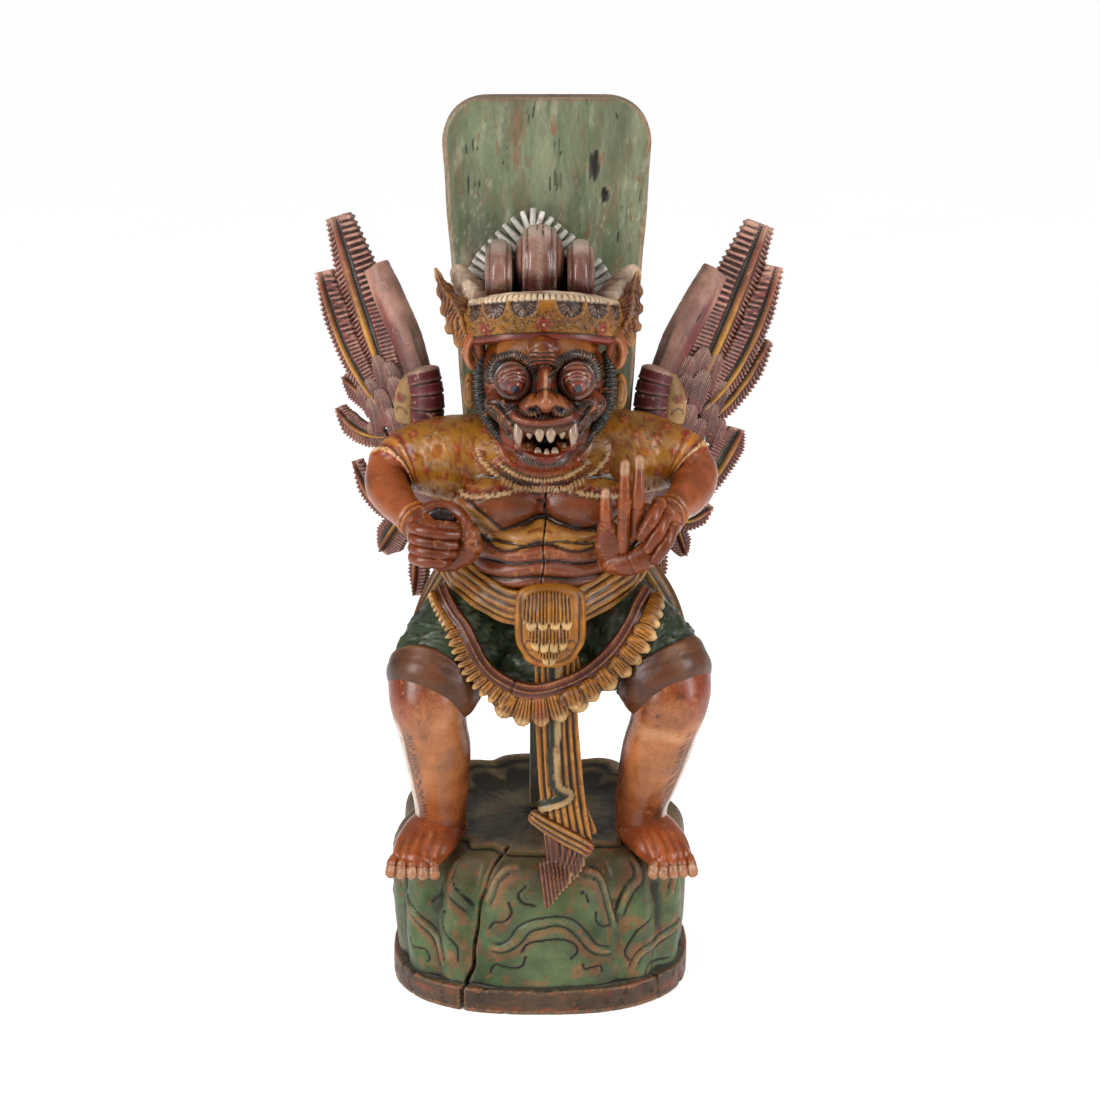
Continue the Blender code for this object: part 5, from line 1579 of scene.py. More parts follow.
# %% Eyes, lids and teeth
Grid.share = 0.55
GLOSSY_FINISH = old_paint("glossy_face", (0.45, 0.24, 0.18), (0.66, 0.46, 0.38), gloss=(0.10, 0.26),
                          chips=0.1, grime_and_shade=0.85, rubbed=0.4, tone=0.25, coat=0.6, rough_relief=0.15,
                          varnish=(0.7, 0.54, 0.46))
eyes = Piece("eyes_and_teeth")
for cx, pupil_x, pupil_z in ((-22.5, -20.3, 419.6), (31.2, 31.6, 420.0)):
    points = ball((cx, -103, 424.3), (11.6, 13.6, 12.8), rows=120, ring=150)
    x, y, z = grid_of(points)
    from_pupil = np.hypot(x - pupil_x, z - pupil_z)
    lid = smooth(-0.8, 0.8, z - pupil_z - 7.6 + 0.03 * (x - cx) ** 2)
    rings = np.cos((from_pupil - 8.4) * TURN / 2.6)
    iris = coats(
        (0.3, 0.07, 0.035), ((0.1, 0.025, 0.016), smooth(4, 8, from_pupil)),
        ((0.4, 0.2, 0.14),
         smooth(8.4, 11, from_pupil) * mottle(-0.2, 0.9, 95, x * 0.3, z * 0.3) * 0.6),
        ((0.05, 0.018, 0.012), bump(from_pupil - 8.6, 0.8) * 0.8),
        ((0.016, 0.024, 0.045), smooth(4.8, 3.4, from_pupil)))
    lid_colour = coats(
        (0.2, 0.06, 0.036), ((0.4, 0.19, 0.13), smooth(0.1, 0.9, rings) * 0.7),
        ((0.06, 0.022, 0.016), smooth(-0.2, -0.9, rings) * 0.85))
    paint = mix(iris, lid_colour, lid)
    relief = lid * (0.7 + 0.35 * rings) + 0.5 * smooth(5.2, 4.2, from_pupil)
    eyes.add(raised(points, relief), paint)
    rows = [(cx + 12.0 * math.sin(a), -104.0 + 3 * abs(math.sin(a)) ** 2,
             424.2 - 12.9 * math.cos(a), 1.0, 3.4)
            for a in np.radians(np.linspace(0, 360, 37))]
    points, u, v = limb(rows, side=FORWARD, length=130, ring=30)
    paint = mix((0.09, 0.035, 0.022), (0.3, 0.15, 0.1), mottle(-0.2, 0.9, 96, u * 14, v) * 0.7)
    eyes.add(raised(points, 0.2 * np.cos(v * 3)), paint)
TEETH = ((-8.2, 387, 377.2, 4.1), (0.2, 387, 376.0, 4.3), (9.4, 387, 375.4, 4.4),
         (18.7, 388, 377.6, 4.2))
for cx, high, low, r in TEETH:
    depth = -119.5 + 0.035 * (cx - 5.5) ** 2
    points, u, v = limb([(cx, depth, high, r * 0.7, 3.4),
                         (cx, depth - 1.2, (high + low) / 2 + 2, r, 4),
                         (cx, depth - 1.2, low + 2.6, r * 0.62, 3), (cx, depth, low, 0.7, 0.9)],
                        ACROSS, 30, 36)
    paint = mix(BONE * 0.42, (0.2, 0.12, 0.07), mottle(0.0, 0.9, 97, u * 3, v) * 0.6)
    eyes.add(points, mix(paint, (0.14, 0.08, 0.05), smooth(0.3, 0.05, u) * 0.7))
for cx, s in ((-17.0, -1), (27.6, 1)):
    depth = -113
    points, u, v = limb([(cx, depth, 389, 4.4, 4), (cx + s * 0.6, depth - 3, 382, 4.0, 4),
                         (cx + s * 0.4, depth - 3, 376, 2.8, 3),
                         (cx - s * 0.4, depth - 1, 371, 1.0, 1)],
                        ACROSS, 36, 36)
    eyes.add(points, mix(BONE * 0.4, (0.24, 0.14, 0.09), mottle(0.0, 0.9, 98, u * 3, v) * 0.6))
for cx, top_z, r in ((-9.5, 369.5, 3.0), (-1.5, 367.6, 3.6), (6, 367.0, 2.6), (12.8, 367.6, 3.6),
                     (20.6, 369.6, 3.0)):
    depth = -113.5 + 0.035 * (cx - 5.5) ** 2
    points, u, v = limb([(cx, depth, top_z - 6, r, 3), (cx, depth - 1, top_z - 2, r, 3),
                         (cx, depth, top_z, r * 0.7, 2)],
                        ACROSS, 20, 30)
    eyes.add(points, mix(BONE * 0.38, (0.2, 0.1, 0.06), smooth(0.4, 0.0, u) * 0.7))
eyes.finish(GLOSSY_FINISH, "figure_paint", "statue")

# %% [markdown]
# ## Ears and ear ornaments
#
# The ears are plain cups with a pale rim, and a long gold drop hangs in each lobe. Over
# each ear stands a pair of carved leaves, which carry the outline of the head up to the
# crown. Their tips are worn to the wood.

# %% Ears, drops and leaves
Grid.share = 0.46
ears = Piece("ears_and_leaves")
for s in (-1, 1):
    cx = FACE_X + s * 61
    points = ball((cx, -52, 440), (9, 11, 17), rows=70, ring=80)
    x, y, z = grid_of(points)
    cup = elliptic(x - cx + s * 2, 5.5, z - 438, 11)
    relief = -4.5 * smooth(1.05, 0.5, cup) * (y < -52) + bump(cup - 1.2, 0.2)
    paint = coats(
        (0.4, 0.15, 0.08), (SKIN_DARK, smooth(1.0, 0.4, cup) * (y < -50) * 0.7),
        ((0.55, 0.36, 0.25), bump(cup - 1.25, 0.22) * 0.7))
    ears.add(raised(points, relief), paint)
    points = ball((FACE_X + s * 64, -48, 404), (6.4, 6, 16), rows=60, ring=70)
    x, y, z = grid_of(points)
    oval = elliptic(x - FACE_X - s * 64, 6.4, z - 404, 16)
    paint = coats(
        GOLD * 0.8, ((0.62, 0.46, 0.26), smooth(0.5, -0.6, (z - 404) / 16) * 0.6),
        (DEEP_BROWN, bump(oval - 0.6, 0.09) * 0.5))
    ears.add(raised(points, -0.7 * bump(oval - 0.6, 0.09)), paint)

    leaf_rows = [(FACE_X + s * 58, -50, 434, 8, 8), (FACE_X + s * 63, -48, 446, 12, 8),
                 (FACE_X - 1.5 + s * 69, -44, 460, 14.5, 7), (FACE_X - 3 + s * 75, -40, 476, 12, 6),
                 (FACE_X - 5 + s * 81, -34, 490, 7.5, 5), (FACE_X - 6.5 + s * 86, -28, 504, 1.6, 3)]
    points, u, v = limb(leaf_rows, length=190, ring=110)
    share = np.cos(v)
    lobes = (u * 5.5 + 0.22 * np.abs(share) + 0.12 * np.sin(u * 31)) % 1
    tooth = smooth(0.0, 0.35, lobes) * smooth(1.0, 0.8, lobes)
    rib = bump(share + 0.15 * np.sin(u * 9), 0.14)
    veins = np.cos((u * 17 + np.abs(share) * 3.0 + 0.5 * np.sin(u * 23)) * TURN)
    wave = ripple(100 + s, u * 8, share * 2)
    rim = smooth(0.62, 0.98, np.abs(share))
    relief = (1.7 * rib + 0.7 * veins * (1 - rim) - 1.4 * bump(lobes, 0.12) * (1 - rib)
              - 3.4 * rim * (1 - tooth) + 0.9 * wave)
    paint = coats(
        (0.27, 0.115, 0.03), ((0.42, 0.24, 0.075), smooth(0.0, 0.9, wave)),
        ((0.2, 0.04, 0.03), mottle(0.1, 0.9, 104 + s, u * 7, share * 3) * 0.8),
        ((0.07, 0.028, 0.016),
         np.clip(smooth(0.1, -0.8, veins) * 0.6 + bump(lobes, 0.1), 0, 1) * (1 - rib) * 0.8),
        ((0.5, 0.36, 0.22), rim * tooth * 0.55 + rib * 0.3),
        (BONE, smooth(0.86, 1.0, u) * 0.6))
    ears.add(raised(points, relief), paint)
    for rows, seed in (
            ([(FACE_X + s * 46, -26, 464, 13, 12), (FACE_X + s * 57, -22, 478, 14, 12),
              (FACE_X + s * 67, -18, 490, 12, 10), (FACE_X + s * 74, -14, 500, 8, 7)], 102),
            ([(FACE_X + s * 44, -38, 462, 13, 11), (FACE_X + s * 52, -34, 473, 13, 11),
              (FACE_X + s * 60, -30, 483, 10, 9), (FACE_X + s * 65, -26, 490, 6, 6)], 103)):
        points, u, v = limb(rows, length=90, ring=80)
        vein = np.cos((u * 9 + np.abs(np.cos(v)) * 1.8) * math.pi)
        paint = coats(
            (0.4, 0.32, 0.34), ((0.85, 0.88, 1.05), mottle(-0.2, 0.9, seed + s, u * 5, v) * 0.8),
            ((0.12, 0.08, 0.08), smooth(0.0, -0.9, vein) * 0.35),
            ((0.85, 0.9, 1.05), smooth(0.55, 1.0, u) * 0.6))
        ears.add(raised(points, 0.4 * vein), paint)
ears.finish(GOLD_FINISH, "figure_paint", "statue")

# %% [markdown]
# ## The crown
#
# A broad gilded band crosses the brow. Its lower edge is a plum-red moulding, its face has
# flowers on ochre, and under its scalloped white rim there are dark half-moons cut with
# fine rays. Behind it sit three polished rolls of hair, and behind those a crest of
# standing locks, each one lower than the last, like feathers on a cockatoo.

# %% The band
Grid.share = 0.64
crown = Piece("crown_band")
band_rows = [(FACE_X - 1 + 58 * math.sin(a), -40 - 53 * math.cos(a),
              460 + 14 * max(0.0, math.cos(a)) ** 1.4, 17.5, 7.5)
             for a in np.radians(np.linspace(-112, 112, 29))]
points, u, v = limb(band_rows, side=UP, length=330, ring=170)
turn_of = (u - 0.5) * 224
rise_share = np.cos(v)
rib = bump(rise_share + 0.8, 0.15)
relief = 3.0 * smooth(-0.6, 1.0, rise_share) + 1.6 * rib - bump(rise_share + 0.6, 0.06)
tone = ripple(110, u * 20, rise_share * 2)
paint = mix(GOLD * (0.85, 0.9, 0.7), GOLD_DARK * 0.9, smooth(-0.2, 0.8, tone) * 0.75)
leafy, groove = leaf_relief(turn_of * 1.05, rise_share * 17, 9.0, 111)
on_gold = smooth(-0.55, -0.45, rise_share) * smooth(0.62, 0.5, rise_share)
relief += 0.9 * leafy * on_gold
paint = coats(
    paint, (GOLD_DARK * 0.35, groove * on_gold * 0.85),
    ((0.2, 0.04, 0.038), smooth(-0.52, -0.6, rise_share)),
    ((0.3, 0.09, 0.085), rib * 0.7),
    (DEEP_BROWN, bump(rise_share + 0.58, 0.04) * 0.8))
for place, drop in ((0, 2), (-49, 0), (49, 0), (-88, 0), (88, 0)):
    da, db = turn_of - place, rise_share * 17 + 4.5 - drop
    radius, angle = np.hypot(da, db), np.arctan2(db, da)
    petal = smooth(0.9, 0.3, radius - 5.0 * (1 + 0.22 * np.cos(6 * angle)))
    relief = relief + 1.4 * petal - 0.8 * bump(radius - 2, 0.7)
    paint = coats(
        paint, (RED * 1.1, petal * 0.85),
        (CREAM, bump(radius, 1.2) * 0.9))
HALF_MOONS = (-84, -60, -37, -14, 19, 42, 65, 88)
for place in HALF_MOONS:
    da = (turn_of - place) / 10.4
    db = (rise_share - 0.88) / 0.7
    inside = np.hypot(da, db)
    low = db < 0.05
    moon = smooth(1.0, 0.9, inside) * low
    rays = np.cos(np.arctan2(db, da) * 18) * smooth(0.2, 0.5, inside)
    relief = relief - (1.5 + 0.5 * rays) * moon + bump(inside - 1.06, 0.09) * low
    paint = coats(
        paint, (mix(DEEP_BROWN * 0.7, (0.46, 0.38, 0.44), smooth(0.2, 0.9, rays)), moon),
        ((0.25, 0.14, 0.07), bump(inside - 1.06, 0.08) * low * 0.7))
scallop = np.abs(np.sin(turn_of / 4.4 * math.pi))
edge = smooth(0.86, 0.93, rise_share)
relief += edge * 1.6 * scallop
paint = coats(
    paint, ((0.88, 0.95, 1.12), edge * (0.35 + 0.65 * smooth(0.3, 0.7, scallop))),
    ((0.11, 0.06, 0.04), edge * smooth(0.35, 0.05, scallop) * 0.7))
crown.add(raised(points, relief), paint)
ledge_rows = [(FACE_X - 1 + 56 * math.sin(a), -38 - 47 * math.cos(a),
               477 + 14 * max(0.0, math.cos(a)) ** 1.4, 5.5, 8)
              for a in np.radians(np.linspace(-100, 100, 25))]
points, u, v = limb(ledge_rows, side=UP, length=200, ring=60)
tone = ripple(112, u * 22, v)
paint = mix((0.3, 0.2, 0.2), (0.8, 0.8, 0.9),
            smooth(-0.3, 0.7, tone) * smooth(-0.4, 0.6, np.cos(v)))
crown.add(raised(points, 0.5 * tone - bump(np.cos(v) - 0.25, 0.2)), paint)
cap = ball((3, -40, 463), (55, 48, 25), rows=60, ring=90)
crown.add(cap, np.broadcast_to(DEEP_BROWN, cap.shape))
crown.finish(GOLD_FINISH, "figure_paint", "statue")

# %% [markdown]
# ## Hair and crest
#
# The rolls are eggs with squared sides and two or three raised ribs. The locks of the crest
# fan out from the crown: their tips follow one curve, and the lean of each lock depends on
# how far it stands from the middle.

# %% The rolls of hair
Grid.share = 0.5
hair = Piece("hair_rolls")


def hair_roll(cx, wide, high, foot_z, ribs, seed):
    """A polished cushion of hair: an egg whose sides are squared off, with raised ribs."""
    unit_x, unit_y, unit_z = grid_of(ball((0, 0, 0), (1, 1, 1), rows=110, ring=150))
    square = np.sign(unit_x) * np.abs(unit_x) ** 0.62
    shape = np.stack([cx + wide * square, -30 + 34 * unit_y * (1 - 0.12 * square ** 2),
                      foot_z + high * unit_z * (1 - 0.1 * square ** 2)], -1)
    x, z = shape[..., 0], shape[..., 2]
    tone = ripple(seed, x * 0.07, z * 0.05)
    relief = 0.4 * tone
    low = smooth(foot_z + 4, foot_z - 10, z)
    paint = coats(
        (0.17, 0.07, 0.052), ((0.34, 0.2, 0.16), smooth(-0.1, 0.8, tone) * 0.7),
        ((0.06, 0.018, 0.013), low * 0.9))
    dusty = smooth(foot_z + high * 0.55, foot_z + high, z)
    paint = mix(paint, (0.56, 0.48, 0.42), dusty * 0.7)
    for rib in ribs:
        line = bump(x - rib, 1.3)
        relief = relief + 1.1 * line - 1.1 * bump(np.abs(x - rib) - 2.4, 1.0)
        paint = coats(
            paint, ((0.34, 0.24, 0.19), line * 0.55 * (1 - low * 0.8)),
            ((0.03, 0.012, 0.01), bump(np.abs(x - rib) - 2.4, 0.9) * 0.7))
    hair.add(raised(metres(shape), relief), paint)


hair_roll(-34, 13.5, 29, 502, (-44.5, -24.5), 115)
hair_roll(0.2, 21.5, 34, 510, (-13, 0.6, 13), 116)
hair_roll(34.5, 13.5, 29, 502, (24.5, 45), 117)

# %% The crest
Grid.share = 0.5
CREST_EDGE = ((-60, 484), (-61, 494), (-56, 507), (-48, 518), (-36, 531), (-23, 543), (-6, 551),
              (10, 543), (22, 532), (35, 523), (51, 507), (59, 494), (60, 484))
LOCKS = 25
crest = Piece("crest")
tips = spline(CREST_EDGE, LOCKS)
for k, (tip_x, tip_z) in enumerate(tips):
    share = 2 * k / (LOCKS - 1) - 1
    lean = math.radians(22 + 30 * (1 - abs(share)) + 38 * max(0.0, 1 - abs(share) * 6))
    away_x, away_z = (math.copysign(math.cos(lean), share) if abs(share) > 0.02
                      else 0.0), math.sin(lean)
    rows = [(tip_x - away_x * r, y0, tip_z - away_z * r, a, b)
            for r, y0, a,
            b in ((34, 6, 5.2, 13), (18, 6, 4.4, 12), (6, 7, 3.6, 10), (0, 8, 3.0, 8.5))]
    points, u, v = limb(rows, side=(away_z, 0, -away_x), length=46, ring=36, blunt=0.4)
    groove = np.cos(np.sin(v) * 14)
    paint = mix((0.36, 0.35, 0.32), (0.58, 0.58, 0.54), mottle(-0.2, 0.8, 120 + k, u * 5, v))
    dark = smooth(0.45, 0.85, np.cos(v)) if share > 0 else smooth(0.45, 0.85, -np.cos(v))
    paint = coats(
        paint, ((0.06, 0.07, 0.06), dark * 0.9),
        ((0.12, 0.085, 0.065), smooth(0.35, 0.0, u) * 0.8))
    crest.add(raised(points, 0.25 * groove), paint)
backing = [(-1, 10, 470, 56, 10), (-2, 10, 498, 50, 10), (-4, 10, 520, 30, 10),
           (-5, 10, 534, 10, 8)]
points, u, v = limb(backing, length=60, ring=60)
crest.add(points, np.broadcast_to(DARK_GREEN, points.shape))
hair.finish(HAIR_FINISH, "figure_paint", "statue")
CREST_FINISH = old_paint("dusty_crest", (0.30, 0.22, 0.16), (0.50, 0.48, 0.42), gloss=(0.40, 0.65),
                         chips=0.25, grime_and_shade=0.9, rubbed=0.7, tone=0.3, coat=0.05, rough_relief=0.5,
                         varnish=(1.0, 0.98, 0.95))
crest.finish(CREST_FINISH, "figure_paint", "statue")

# %% [markdown]
# ## The wings
#
# The wings are carved apart and pegged on behind the shoulders. Every long feather is a
# bent blade with a gilded spine, a dark green channel beside it, and barbs cut with a
# V-tool, so its edge is a row of teeth. Over the roots lie short leaf-shaped feathers. The
# plain block beside the head and the banded knuckle below it were left smooth.
#
# A feather is a grid again: one direction runs along a quadratic spine, the other across
# the blade. Height, tooth length and colour depend only on those two.

# %% The wings' own grid
Grid.share = 0.6
WING_SWEEP_DEG = {-1: 40.0, 1: 31.0}
WING_LEAN_DEG = {-1: 0.0, 1: 3.0}
WING_ROOT = np.array([0.1, 0.04, ROCK_FRONT + 0.366])
WING_PARTS = 0.001


def wing_place(side, out, up, depth):
    """Wing grid places (out from the root, up, towards the front) in metres, as arrays."""
    sweep, lean = math.radians(WING_SWEEP_DEG[side]), math.radians(WING_LEAN_DEG[side])
    out, up = out * math.cos(lean) + up * math.sin(lean), up * math.cos(lean) - out * math.sin(lean)
    back = out * math.sin(sweep) - depth * math.cos(sweep)
    away = out * math.cos(sweep) + depth * math.sin(sweep)
    return np.stack([side * (WING_ROOT[0] + away * WING_PARTS), WING_ROOT[1] + back * WING_PARTS,
                     WING_ROOT[2] + up * WING_PARTS], -1)


def capped(points, paint):
    """The grid with each end closed to the middle of its last ring."""
    ends = points[[0, -1]].mean(axis=1, keepdims=True).repeat(points.shape[1], 1)
    return (np.concatenate([ends[:1], points, ends[1:]]),
            np.concatenate([paint[:1], paint, paint[-1:]]))


def blade(root, middle, tip, widths, rows):
    """The spine of a bent blade: the share along it, its places, its outward direction,
    its width share and its length.

    The curve is the parabola through three points, and outward is square to its slope.
    """
    t = np.linspace(0, 1, rows)[:, None]
    root, middle, tip = (np.array(p, float) for p in (root, middle, tip))
    spot = (1 - t) * (1 - 2 * t) * root + 4 * t * (1 - t) * middle + t * (2 * t - 1) * tip
    along = (4 * t - 3) * root + (4 - 8 * t) * middle + (4 * t - 1) * tip
    along /= np.linalg.norm(along, axis=1)[:, None]
    outward = np.stack([along[:, 1], -along[:, 0]], 1)
    swell_share = np.interp(t[:, 0], [0, 0.35, 0.75, 1], widths)
    length = np.linalg.norm(np.diff(spot, axis=0), axis=1).sum()
    return t, spot, outward, swell_share, length


print("wing root", WING_ROOT)

# %% [markdown]
# ## One feather
#
# The front of a feather has more columns near its spine, where the ridge is steep, and the
# hidden back has only a few. One cosine along the blade, leaning outwards, cuts the barbs
# and the teeth of the edge together, so every tooth ends a barb.

# %% A feather
FACE_COLUMNS, BACK_COLUMNS = 36, 7
SHORT_ROWS, SHORT_FACE, SHORT_BACK = 32, 25, 4


def feather(piece, side, rows, seed, pitch=4.0, big=0.0, blunt=0.62, teal=0.3):
    """One long feather. rows is (root, middle, tip, outer width, inner width, depth);
    big lengthens the teeth of the inner edge near the tip, as on the longest feather;
    teal is how far the painted channel reaches from the spine."""
    root, middle, tip, outer, inner, depth = rows
    steps = int(np.clip(0.9 * math.dist(root, tip), 40, 130))
    t, spot, outward, share, length = blade(root, middle, tip, (0.6, 0.9, 1.0, blunt), steps)
    face = np.linspace(1, -1, FACE_COLUMNS)
    face = face * (0.5 + 0.5 * np.abs(face))
    across = np.concatenate([face, np.linspace(-0.92, 0.92, BACK_COLUMNS)])[None]
    back = np.concatenate([np.zeros(FACE_COLUMNS), np.ones(BACK_COLUMNS)])[None]
    side_of = np.where(across >= 0, outer, inner)
    width = np.abs(across)
    run = t * length
    drift = ripple(seed + 2, run * 0.1, across * 0.8)
    wave = np.cos((run / pitch + 0.95 * width + 0.16 * drift) * TURN)
    rungs = np.cos((run / (pitch * 1.35) + 0.15 * width + 0.22 * drift) * TURN)
    coarse = big * smooth(0.46, 0.58, t) * (across < 0)
    wave = wave * (1 - coarse) + rungs * coarse
    barbs = (smooth(teal, teal + 0.12, width) * smooth(0.0, 0.04, t) * smooth(1.0, 0.965, t)
             * (1 - back))
    edge_teeth = smooth(0.8, 1.0, width) * (1.1 + 1.6 * coarse + 0.4 * drift) * wave
    reach = (side_of - 1.8) * width * share[:, None] + edge_teeth
    place = spot[:, None] + outward[:, None] * (np.sign(across) * reach)[..., None]
    ridge = np.interp(width, [0, 0.11, 0.15, 0.3, 0.36, 1.0], [8.8, 8.2, 4.8, 3.4, 5.0, 3.4])
    rise = np.where(back > 0, -4 - 2 * (1 - width), ridge) + barbs * wave * (1.05 + 1.3 * coarse)
    hatch = (np.cos((run / 2.6 - 2.5 * width) * TURN) * smooth(0.12, 0.16, width) * (1 - barbs)
             * (1 - back))
    rise = rise + 0.4 * drift + 0.35 * hatch
    points = wing_place(side, place[..., 0], place[..., 1], depth + rise)

    tone = ripple(seed + 1, run * 0.05, across * 1.5)
    paint = coats(
        (0.22, 0.065, 0.06), ((0.36, 0.17, 0.15), smooth(-0.2, 0.8, tone)),
        ((0.06, 0.016, 0.018), barbs * smooth(0.25, -0.6, wave) * 0.95),
        ((0.62, 0.43, 0.38), barbs * smooth(0.35, 0.95, wave) * (0.35 + 0.45 * coarse)))
    channel = smooth(0.11, 0.15, width) * smooth(teal + 0.06, teal, width) * (1 - back)
    green = mix((0.04, 0.062, 0.05), (0.12, 0.15, 0.105), smooth(-0.2, 0.9, drift))
    red = mix((0.17, 0.04, 0.035), (0.3, 0.16, 0.06), smooth(0.0, 0.9, tone))
    streaks = mix(np.where((across < 0)[..., None], green, red), (0.03, 0.018, 0.018),
                  smooth(0.2, -0.8, hatch) * 0.7)
    paint = mix(paint, streaks, channel * 0.92)
    gilt = mix((0.56, 0.33, 0.06), (0.3, 0.1, 0.06), smooth(0.3, 0.95, t + 0.12 * tone))
    paint = coats(
        paint, (gilt, smooth(0.14, 0.11, width) * (1 - back)),
        ((0.34, 0.035, 0.045), bump(width - teal - 0.07, 0.035) * (across < 0) * (1 - back) * 0.6),
        ((0.16, 0.075, 0.07), back * 0.9))
    worn = smooth(0.9, 1.0, t + 0.03 * tone)
    piece.add(*capped(points, mix(paint, (0.6, 0.42, 0.36), worn * 0.85)))


def short_feather(piece, side, root, tip, wide, depth, seed):
    """A round-ended feather over the roots: pale at its end, with a vein and hatching."""
    root, tip = np.array(root, float), np.array(tip, float)
    middle = (root + tip) / 2 + np.array([root[1] - tip[1], tip[0] - root[0]]) * 0.04
    t, spot, outward, _, length = blade(root, middle, tip, (1, 1, 1, 1), SHORT_ROWS)
    face = np.linspace(1, -1, SHORT_FACE)
    across = np.concatenate([face, np.linspace(-0.85, 0.85, SHORT_BACK)])[None]
    back = np.concatenate([np.zeros(SHORT_FACE), np.ones(SHORT_BACK)])[None]
    width = np.abs(across)
    rounded = (wide * (0.72 + 0.36 * np.sin(t * 2.6))
               * np.sqrt(np.clip(1 - np.clip((t - 0.62) / 0.38, 0, 1) ** 2.4, 0.004, 1)))
    drift = ripple(seed, t * 3, across)
    hatch = np.cos((t * length / 2.3 - width * 2.6 + 0.25 * drift) * TURN)
    notch = 0.7 * hatch * smooth(0.8, 1.0, width) * t
    place = (spot[:, None]
             + outward[:, None] * (across * rounded + np.sign(across) * notch)[..., None])
    vein = bump(width, 0.09)
    rise = (np.where(back > 0, -3.0, 3.2 + 0.8 * hatch * (1 - vein) + 1.3 * vein - 1.4 * width ** 2)
            - 2.4 * t + 1.6 * t ** 3)
    points = wing_place(side, place[..., 0], place[..., 1], depth + rise)
    paint = coats(
        (0.27, 0.135, 0.125), ((0.17, 0.125, 0.125), smooth(-0.3, 0.7, drift)),
        ((0.6, 0.45, 0.4), smooth(0.5, 1.0, t + 0.15 * drift) * 0.7),
        ((0.05, 0.026, 0.028), smooth(0.15, -0.7, hatch) * (1 - vein) * (1 - back) * 0.85),
        ((0.22, 0.05, 0.05), smooth(0.4, 0.0, t) * 0.6))
    piece.add(*capped(points, mix(paint, (0.16, 0.075, 0.07), back * 0.8)))


def wing_form(piece, side, rows, colour_of, length=70, ring=64, blunt=0.35):
    """A round form on the wing's grid: rows of (out, up, depth, radius, radius). A small
    blunt leaves its ends cut off nearly flat."""
    length, ring = fine(length), fine(ring)
    path = spline(rows, length)
    u = np.concatenate([np.zeros(8), np.linspace(0, 1, length), np.ones(8)])
    lean = np.linspace(math.pi / 2, 0, 8, endpoint=False)
    pick = np.concatenate([np.zeros(8, int), np.arange(length), np.full(8, length - 1)])
    shrink = np.concatenate([np.cos(lean), np.ones(length), np.cos(lean[::-1])])
    shift = np.concatenate([-np.sin(lean), np.zeros(length), np.sin(lean[::-1])])
    shrink[[0, -1]] = 0
    travel = np.gradient(path[:, :2], axis=0)
    travel /= np.linalg.norm(travel, axis=1)[:, None]
    normal = np.stack([travel[:, 1], -travel[:, 0]], 1)[pick]
    v = np.linspace(0, TURN, ring, endpoint=False)[None]
    centre = path[pick, :2] + travel[pick] * (shift * path[pick, 3] * blunt)[:, None]
    radius = (path[pick, 3] * shrink)[:, None]
    place = centre[:, None] + normal[:, None] * (radius * np.cos(v))[..., None]
    depth = path[pick, 2][:, None] + path[pick, 4][:, None] * shrink[:, None] * np.sin(v)
    points = wing_place(side, place[..., 0], place[..., 1], depth)
    u, v = np.broadcast_arrays(u[:, None], v)
    paint, relief = colour_of(u, v)
    piece.add(raised(points, relief), paint)


# %% The left and right wing
SLAB_BLUNT = 0.06
LONGEST = ((38, 14), (72, 82), (104, 164), 19, 31, 2)
SECOND = ((46, 2), (89, 46), (118, 114), 13.6, 20, 6)
FEATHERS = {
    -1: (LONGEST, SECOND,
         ((42, -12), (72, 6), (97, 20), 16, 12, 0), ((40, -26), (74, -25), (100, -8), 15, 10, 5),
         ((30, -96), (62, -90), (86, -56), 12, 11, -1),
         ((16, -84), (42, -112), (59, -137), 18, 17, -6),
         ((6, -90), (12, -130), (15, -170), 12, 12, -3)),
    1: (LONGEST, ((46, 2), (90, 52), (117, 127), 14, 20, 6),
        ((46, -14), (84, 16), (113, 61), 15, 19, 3), ((42, -90), (76, -50), (92, -20), 15, 23, 0),
        ((26, -100), (48, -101), (68, -90), 12, 13, -4),
        ((20, -80), (34, -112), (44, -134), 11, 13, -6),
        ((8, -84), (13, -124), (13, -166), 12, 12, -3)),
}
SHORT_FEATHERS = {
    -1: (((42, 12), (52, 46), 8, 9), ((26, 16), (38, 42), 8, 10), ((48, -6), (62, 24), 8, 10),
         ((14, 0), (31, 30), 9, 13), ((32, -14), (46, 17), 8.5, 14), ((14, 12), (17, 30), 7, 12),
         ((46, -22), (56, 8), 8, 13), ((58, -10), (74, 16), 8, 8), ((20, -28), (32, 2), 9, 15),
         ((40, -40), (60, -16), 9, 10), ((24, -52), (44, -30), 9, 10), ((8, -30), (20, -2), 9, 13)),
    1: (((34, 22), (47, 57), 9, 9), ((50, 18), (61, 51), 8, 9), ((20, 22), (32, 50), 8, 9),
        ((58, -2), (68, 26), 8, 10), ((34, 0), (45, 38), 9, 13), ((18, 8), (28, 35), 8, 12),
        ((47, -20), (56, 8), 8, 13), ((56, -30), (68, -8), 8, 11), ((20, -24), (32, 8), 9, 15),
        ((34, -34), (44, -6), 9, 14), ((24, -52), (44, -30), 9, 10), ((8, -30), (18, 0), 9, 13)),
}


